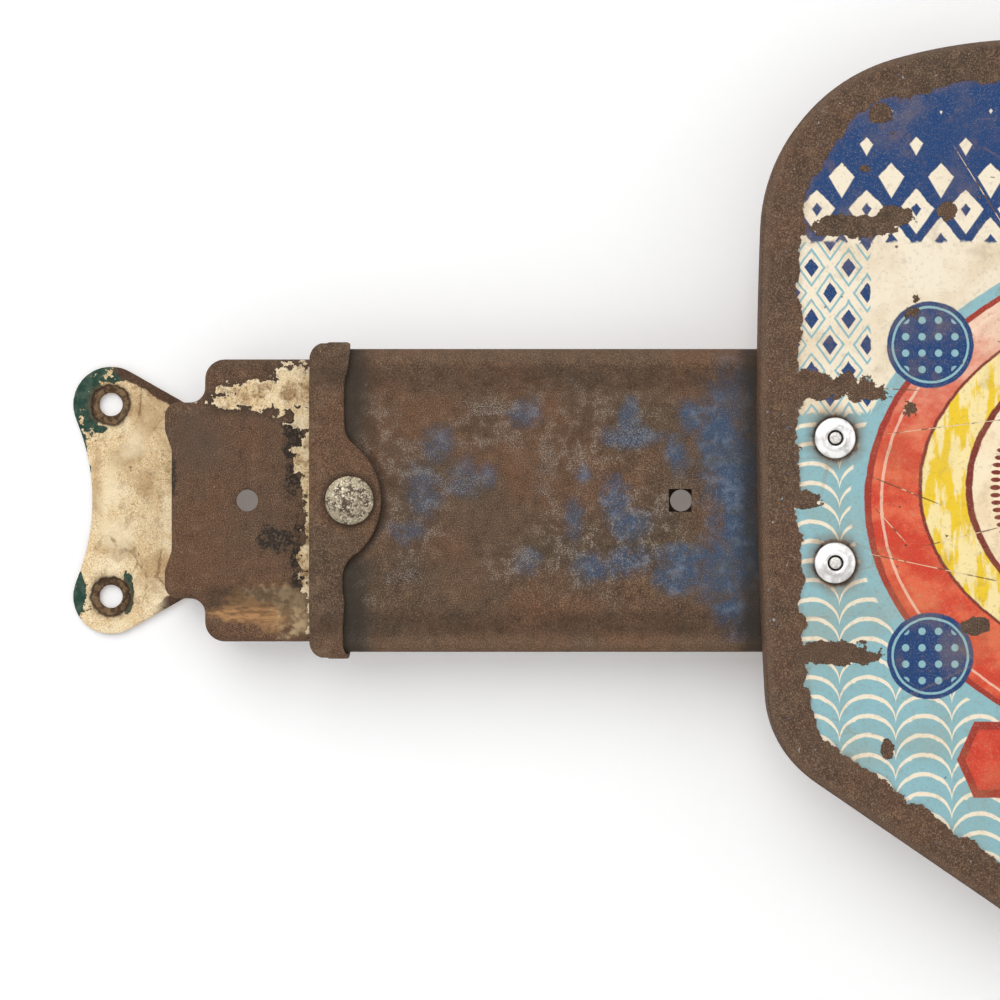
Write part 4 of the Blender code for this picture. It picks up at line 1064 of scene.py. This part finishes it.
def panel_art(g, wobble, mottle, stipple):
    """The printed face: plain bands and lattices, an oval ring with roundels, a lattice and a bare banner."""
    x, z, a = g.x, g.z, abs(g.x)
    # Upper field of navy, with cream lozenges that grow downwards and small navy ones inside them
    inside = z.over(96, 62) * 0.78 - (lozenges(x, z + wobble, 11.5, 15.0) + wobble * 0.1)
    upper = g.coats(NAVY, [
        (inside.over(-0.03, 0.04), ENAMEL_CREAM),
        ((inside - 0.52).over(-0.03, 0.03), NAVY),
    ])
    # Cream middle with navy lozenges near the rim, and light blue below it with cream bows
    side = lozenges(x + 3.0, z + wobble, 8.6, 12.0) + wobble * 0.15
    by_rim = (a + wobble).over(96.6, 96.9)
    middle = g.coats(ENAMEL_CREAM, [
        (mottle.over(0.4, 0.66) * 0.4, (224, 202, 164)),
        (side.over(0.42, 0.36) * by_rim, NAVY),
        (side.over(0.62, 0.66) * side.over(0.8, 0.76) * by_rim, SKY),
    ])
    radius = 6.5
    from_middle = radius - x.wave(2 * radius)
    bow = g.math("SQRT", (radius**2 - from_middle * from_middle) | 0.0) * 0.9
    lines = abs((z + 400.0 - bow + wobble * 0.7).wave(9.0) - 2.25).over(0.62, 0.36)
    pips = lozenges(x + 3.2, z + 1.5, 13.0, 9.0).over(0.12, 0.06)
    lower = g.coats(SKY, [(mottle.over(0.42, 0.64) * 0.4, (126, 168, 172)), (lines | pips, ENAMEL_CREAM)])
    art = g.coats(middle, [
        ((z + wobble * 3).over(59.4, 60.2), upper),
        ((z + wobble * 4).over(20.6, 19.8), lower),
    ])
    # Oval ring, red at its sides and paler at its top, edged in light blue
    outer = (g.away(0.0, 0.0, 101.4, 67.0) - 1.0) * 80.0 + wobble * 0.5
    scuff = g.noise(7, 74, 7, (1.5, 1, 1))
    rise = (z + (scuff - 0.5) * 46.0).over(6, 46)
    red = g.coats(RED, [
        (scuff.over(0.42, 0.62), RED_ORANGE),
        (stipple.over(0.52, 0.74) * scuff.over(0.46, 0.6) * 0.6, SALMON),
        (rise * 0.85, g.mix(rise, SALMON, PINK)),
        (rise * stipple.over(0.56, 0.7) * 0.3, RED_ORANGE),
    ])
    art = g.coats(art, [
        (outer.over(0.25, -0.1), SKY),
        (outer.over(-2.4, -2.8), red),
        (abs(outer + 3.1).over(0.75, 0.5), RED_DARK),
        (abs(outer + 5.6).over(0.34, 0.2), g.mix(0.6, red, PINK)),
    ])
    # Corner roundels of navy with light blue dots
    corner_x, corner_z, pitch = a - 83.0, abs(z) - 36.0, 3.8
    roundel = g.away(0, 0, place=g.joined(corner_x, 0.0, corner_z)) + wobble * 0.5
    dots = g.joined(corner_x.wave(pitch), 0.0, corner_z.wave(pitch))
    dots = g.away(pitch / 2, pitch / 2, place=dots)
    disc = g.coats(NAVY, [
        (dots.over(0.95, 0.75), SKY),
        (roundel.over(7.7, 8.0), NAVY),
        (abs(roundel - 8.7).over(0.35, 0.2), SKY),
    ])
    art = g.mix(roundel.over(10.2, 9.9), art, disc)
    # Oval: a yellow band and a beaded line round a cream field with a plain lattice
    middle_z, mean_radius = 3.0, 62.0
    ring = (1.0 - g.away(0.0, middle_z, 86.0, 51.0)) * mean_radius + wobble * 0.6
    field = ring.over(20, 22)
    lattice = lozenges(x + 7.0, z - 6.0, 14.0, 14.0)
    round_it = g.math("ARCTAN2", (z - middle_z) * 1.4, x) * mean_radius
    beads = g.away(1.1, 0.0, 0.72, 0.9, place=g.joined(round_it.wave(4.4), 0.0, ring - 13.0))
    cream = g.coats((251, 234, 200), [
        (mottle.over(0.42, 0.66) * 0.6, (242, 208, 162)),
        (lattice.over(0.2, 0.16) * field, YELLOW_DEEP),
        (abs(lattice - 1.0).over(0.035, 0.015) * field * 0.7, (206, 160, 118)),
        (abs(ring - 17.6).over(0.5, 0.3), MAROON),
        (abs(ring - 19.4).over(0.28, 0.14), MAROON),
        (beads.over(1.05, 0.85), MAROON),
    ])
    band = g.coats(YELLOW, [
        (g.noise(6, 75, 5, (0.4, 1, 1.8)).over(0.46, 0.54) * 0.85, (250, 232, 176)),
        (ring.over(8.2, 8.5), cream),
        (abs(ring - 8.6).over(0.7, 0.45), MAROON),
        (ring.over(0.9, 0.6), MAROON),
    ])
    # Bare banner across the foot of the oval
    banner_z = abs(z + 60.0)
    banner = ((banner_z - 8.0) | (a - 76.0 + banner_z * 0.45)) + wobble * 0.4
    flat_red = g.coats((204, 60, 42), [
        (scuff.over(0.42, 0.62), (218, 82, 56)),
        (stipple.over(0.6, 0.74) * 0.4, SALMON),
    ])
    return g.coats(art, [
        (ring.over(0.0, 0.3), band),
        (banner.over(1.0, 0.7), RED_DARK),
        (banner.over(-0.9, -1.2), flat_red),
    ])


def panel_material():
    """The panel: a printed enamel face, aged, scratched and chipped, rusted in from its rim and rivets."""
    g = Surface("panel_enamel")
    rust, rust_roughness, height, _, fine = rusted(g, 65, (84, 65, 52), 0.6)
    wobble, mottle, stipple = g.noise(3, 71) - 0.5, g.noise(16, 72, 5), g.noise(0.8, 73)
    art = panel_art(g, wobble, mottle, stipple)

    # Age: yellowing, faint cracks, scratches and dark specks
    hairs = g.cells(24, 81, "DISTANCE_TO_EDGE", (2.4, 1, 0.7)) + wobble * 0.006
    scratches = g.nearest([
        (middle_x, middle_z, half, 0.15, turn)
        for middle_x, middle_z, half, turn in (
            (-76, 17.5, 19, -7), (-88, 2, 10, 22), (-80, -16, 22, 12), (-70, 70, 16, 58), (-96, 26, 9, 3),
            (-92, -6, 6, 48), (-74, -8, 12, -14), (-40, 30, 38, 14), (12, -22, 44, -19), (60, 8, 30, 33),
            (84, 40, 18, -48), (20, 74, 26, -11), (96, -12, 9, 64),
        )
    ])
    broken = g.noise(4, 85)
    scratched = (scratches + (broken - 0.5) * 1.8).over(1.1, 0.8)
    art = g.coats(art, [
        (mottle.over(0.46, 0.7) * 0.2, (186, 152, 102)),
        (stipple.over(0.52, 0.74) * 0.24, (122, 100, 74)),
        (fine.over(0.54, 0.74) * 0.1, (255, 246, 226)),
        (g.noise(5.5, 76, 6).over(0.56, 0.7) * 0.22, (140, 108, 74)),
        (hairs.over(0.012, 0.004) * g.noise(19, 82).over(0.52, 0.6) * 0.25, (150, 116, 78)),
        (scratched * 0.8, g.mix(broken.over(0.46, 0.54), (104, 76, 54), (232, 208, 170))),
    ])
    worn = g.noise(11, 86, 8).over(0.685, 0.695) | g.noise(2.6, 87, 4).over(0.73, 0.745)
    worn = worn | g.cells(7.0, 88).over(0.07, 0.045) * g.noise(30, 89, 2).over(0.5, 0.56)
    flake_colour = g.mix(g.noise(3, 94, 1).over(0.45, 0.55), (168, 172, 172), (84, 98, 128))

    # Rust: the rim, tongues that run in from it, and halos round the rivets
    g.turn()
    edge, small = g.noise(6.5, 91, 7) - 0.5, g.noise(2.0, 92, 4) - 0.5
    rim = g.new("Attribute", output="Fac", attribute_name="rim")
    border = (rim + edge * 7.5 + small * 1.6).over(9.2, 8.95)
    tongues = g.blobs(edge * 2.0 + small * 1.2, [
        (-101.5, 63.4, 12.5, 2.6), (-91, 65.4, 4.6, 2.4), (-110, 26, 13, 3.8), (-98, 25, 4, 1.6),
        (-105.4, -35.4, 9, 3), (-99, -36.4, 3.4, 2.2), (-112, 0.4, 3.6, 2), (-94.4, 89, 2.6, 2.3),
        (-84.2, 95.1, 1.8, 1.2), (-98.1, 76.8, 1.5, 1.1), (-79, 67.2, 1.9, 2.7), (-93.1, -57.4, 1.7, 2.6),
        (-72.3, -29.1, 3, 1.8), (-30, 88, 3, 2), (-44, -70, 2.4, 3), (-12, -84, 3.4, 2),
        (-52, 72, 2, 1.4),
    ]).over(0.02, 0.06)
    rivets = g.pair(RIVET_REACH, RIVET_HALF_SPACING)
    halo = (rivets + edge * 2.4 + small).over(5.9, 4.9) * 0.85
    soft_halo = (rivets + edge * 4.0).over(8.4, 5.2) * 0.5
    face = g.facing.over(0.0, -0.3) * g.y.over(-26.6, -27.1)
    gone = (border | tongues | halo | worn) | (1.0 - face)
    stained = (rim + edge * 6.5).over(10.4, 9.0) * 0.25 | soft_halo
    flakes = g.noise(1.5, 93, 4).over(0.66, 0.68) * (rim + edge * 2).over(8.4, 6.6) * rim.over(0.8, 2.0)
    rust = g.coats(rust, [
        (flakes * face * 0.8, flake_colour),
        (halo * face * 0.5, (84, 56, 36)),
        # Painted highlight on the rounded rim's bend
        (face * rim.over(2.6, 0.6) * 0.25, (124, 104, 88)),
    ])
    colour = g.coats(art, [(stained, (116, 80, 50)), (gone, rust)])
    roughness = gone * (rust_roughness - 0.36) + 0.36 + (mottle - 0.5) * 0.1
    relief = height * gone * 0.8 + (1.0 - gone) * 0.14 + stipple * 0.012 - scratched * 0.03
    return g.finish(colour, roughness, relief, specular=0.22)


def zinc_material():
    """Old zinc plate: rubbed bright on its high spots and its rim, brown in its pits."""
    g = Surface("worn_zinc")
    pits, fine = g.noise(1.5, 101, 5), g.noise(0.45, 102)
    g.turn()
    away = g.away(-CLAMP_REACH, 0.0)
    rubbed = (pits * 0.55 + fine * 0.45 + away.over(2.5, 5.2) * 0.05).over(0.43, 0.57)
    colour = g.coats((72, 58, 42), [
        (rubbed, (168, 155, 130)),
        (fine.over(0.54, 0.64) * 0.7, (226, 219, 202)),
        (away.over(5.2, 5.7) * pits.over(0.55, 0.4) * 0.6, (72, 58, 44)),
    ])
    return g.finish(colour, 0.74 - rubbed * 0.26, pits * 0.2 + fine * 0.1, rubbed * 0.65)


def aluminium_material():
    """New aluminium: bright, finely turned, with painted grey reflections and painted shade in its dish and
    round its middle.
    """
    g = Surface("rivet_aluminium")
    smear_and_reflection = g.noise(3.0, 111, 4)
    g.turn()
    away = g.pair(RIVET_REACH, RIVET_HALF_SPACING)
    colour = g.coats((250, 249, 248), [
        # Painted grey reflections, laid on as smears
        (smear_and_reflection.over(0.42, 0.62), (206, 203, 200)),
        # Painted shade in the flange's dish
        (away.over(3.45, 3.1) * away.over(2.5, 2.95) * 0.2, (150, 146, 142)),
        # Painted shade in the bore round the mandrel
        (away.over(2.0, 1.75) * 0.25, (96, 92, 88)),
    ])
    height = away.wave(0.2) * 0.05 + smear_and_reflection * 0.06
    return g.finish(colour, 0.22 + smear_and_reflection * 0.16, height, 0.92 - smear_and_reflection * 0.1)


def mandrel_material():
    """The mandrel's broken end: bright grey steel, torn rough, with painted shade round its edge."""
    g = Surface("mandrel_steel")
    torn = g.noise(0.7, 121, 4)
    g.turn()
    away = g.pair(RIVET_REACH, RIVET_HALF_SPACING)
    colour = g.coats((186, 181, 176), [
        (torn.over(0.38, 0.64), (232, 229, 224)),
        # Painted shade round the mandrel's edge, in the gap to the sleeve
        (away.over(1.2, 1.44) * 0.8, (92, 86, 80)),
    ])
    return g.finish(colour, 0.4 + torn * 0.2, torn * 0.12, 0.6 + torn * 0.1)


# Set, light and camera, in metres

def stage_plane(name, x, y, z, material):
    """A flat stage surface between two x, two y and two z, one pair of them equal, facing the front or up."""
    corners = [(x[0], y[0], z[0]), (x[1], y[0], z[0]), (x[1], y[1], z[1]), (x[0], y[1], z[1])]
    mesh = bpy.data.meshes.new(name)
    mesh.from_pydata(corners, [], [(0, 1, 2, 3)])
    mesh.materials.append(material)
    plane = add_object(name, mesh)
    return plane


def stage_material(name, albedo, clearness):
    """A matt white that looks a little brighter than it lights, as clear as a function says, 0 to 1."""
    g, glow = Surface(name), 0.14
    inputs = g.shader.inputs
    inputs["Base Color"].default_value = (albedo, albedo, albedo, 1)
    inputs["Roughness"].default_value = 1.0
    inputs["Specular IOR Level"].default_value = 0.0
    inputs["Emission Color"].default_value = (1, 1, 1, 1)
    g.put(inputs["Emission Strength"], g.direct() * glow)
    matt = Value(g, g.shader.outputs[0])
    blend = g.new("MixShader", {0: clearness(g), 1: matt, 2: g.new("BsdfTransparent")})
    g.put(g.tree.nodes["Material Output"].inputs["Surface"], blend)
    return g.material


def wall_clearness(g):
    """The wall fades out towards its border, and isn't seen from behind."""
    border = abs(g.x).over(400, 640) | abs(g.z - 40.0).over(240, 335)
    return border | g.new("NewGeometry", output="Backfacing")


def floor_clearness(g):
    """The floor fades out far away, for the camera alone."""
    far = g.away(0, 0, place=g.joined(g.x, 0.0, g.y)).over(700, 1900)
    return far * g.new("LightPath", output="Is Camera Ray")


def make_stage():
    """A white wall just behind the sign, seen from the front alone, and a pale floor below it."""
    white = stage_material("white_wall", 0.9, wall_clearness)
    wall = stage_plane("wall", (-0.66, 0.66), (0.0005, 0.0005), (-0.3, 0.38), white)
    wall.visible_diffuse = wall.visible_glossy = wall.visible_transmission = wall.visible_shadow = False
    pale = stage_material("pale_floor", 0.86, floor_clearness)
    stage_plane("floor", (-3, 3), (-3, 3), (-0.31, -0.31), pale)


def make_world():
    """White where it is seen or mirrored, and a softer white as a light."""
    world = bpy.data.worlds.new("studio")
    bpy.context.scene.world = world
    g = Graph(world)
    background = g.tree.nodes["Background"].inputs
    background["Color"].default_value = (1, 1, 1, 1)
    g.put(background["Strength"], g.new("MapRange", {"Value": g.direct(), "To Min": 0.5, "To Max": 1.0}))


def area_light(name, location, target, size, power):
    """A square lamp turned towards a target."""
    lamp = bpy.data.lights.new(name, "AREA")
    lamp.shape = "SQUARE"
    lamp.size = size
    lamp.energy = power
    light = add_object(name, lamp)
    light.location = location
    light.rotation_euler = (Vector(target) - Vector(location)).to_track_quat("-Z", "Y").to_euler()


def make_camera():
    """Straight in front of the sign's left half, half a metre away."""
    camera = add_object("camera", bpy.data.cameras.new("camera"))
    camera.location = (-0.1826, -0.5078, 0.0001)
    camera.rotation_euler = (math.radians(90), 0, 0)
    camera.data.sensor_width = 36.0
    camera.data.lens = 74.66
    camera.data.clip_start = 0.01
    bpy.context.scene.camera = camera


def main():
    bpy.context.scene.view_settings.view_transform = "Standard"
    make_camera()
    make_world()
    make_stage()
    area_light("key", (-0.6, -1.15, 0.8), (-0.1, 0, 0), 1.3, 12.8)
    area_light("fill", (1.5, -1.0, 0.1), (0, 0, 0), 1.2, 3.0)
    area_light("back", (0.5, 1.6, 0.9), (0, 0, 0), 1.4, 16.0)

    push_bar(bar_material())
    sign_panel(panel_material())
    painted, folded, zinc = arm_material(), collar_material(), zinc_material()
    aluminium, steel = aluminium_material(), mandrel_material()
    for side in SIDES:
        arm(side, painted)
        collar(side, folded)
        clamp_bolt(side, zinc)
        clamp_washer(side, zinc)
        clamp_nut(side, zinc)
        for height in HEIGHTS:
            rivet(side, height, aluminium, steel)
    bpy.context.view_layer.update()


main()
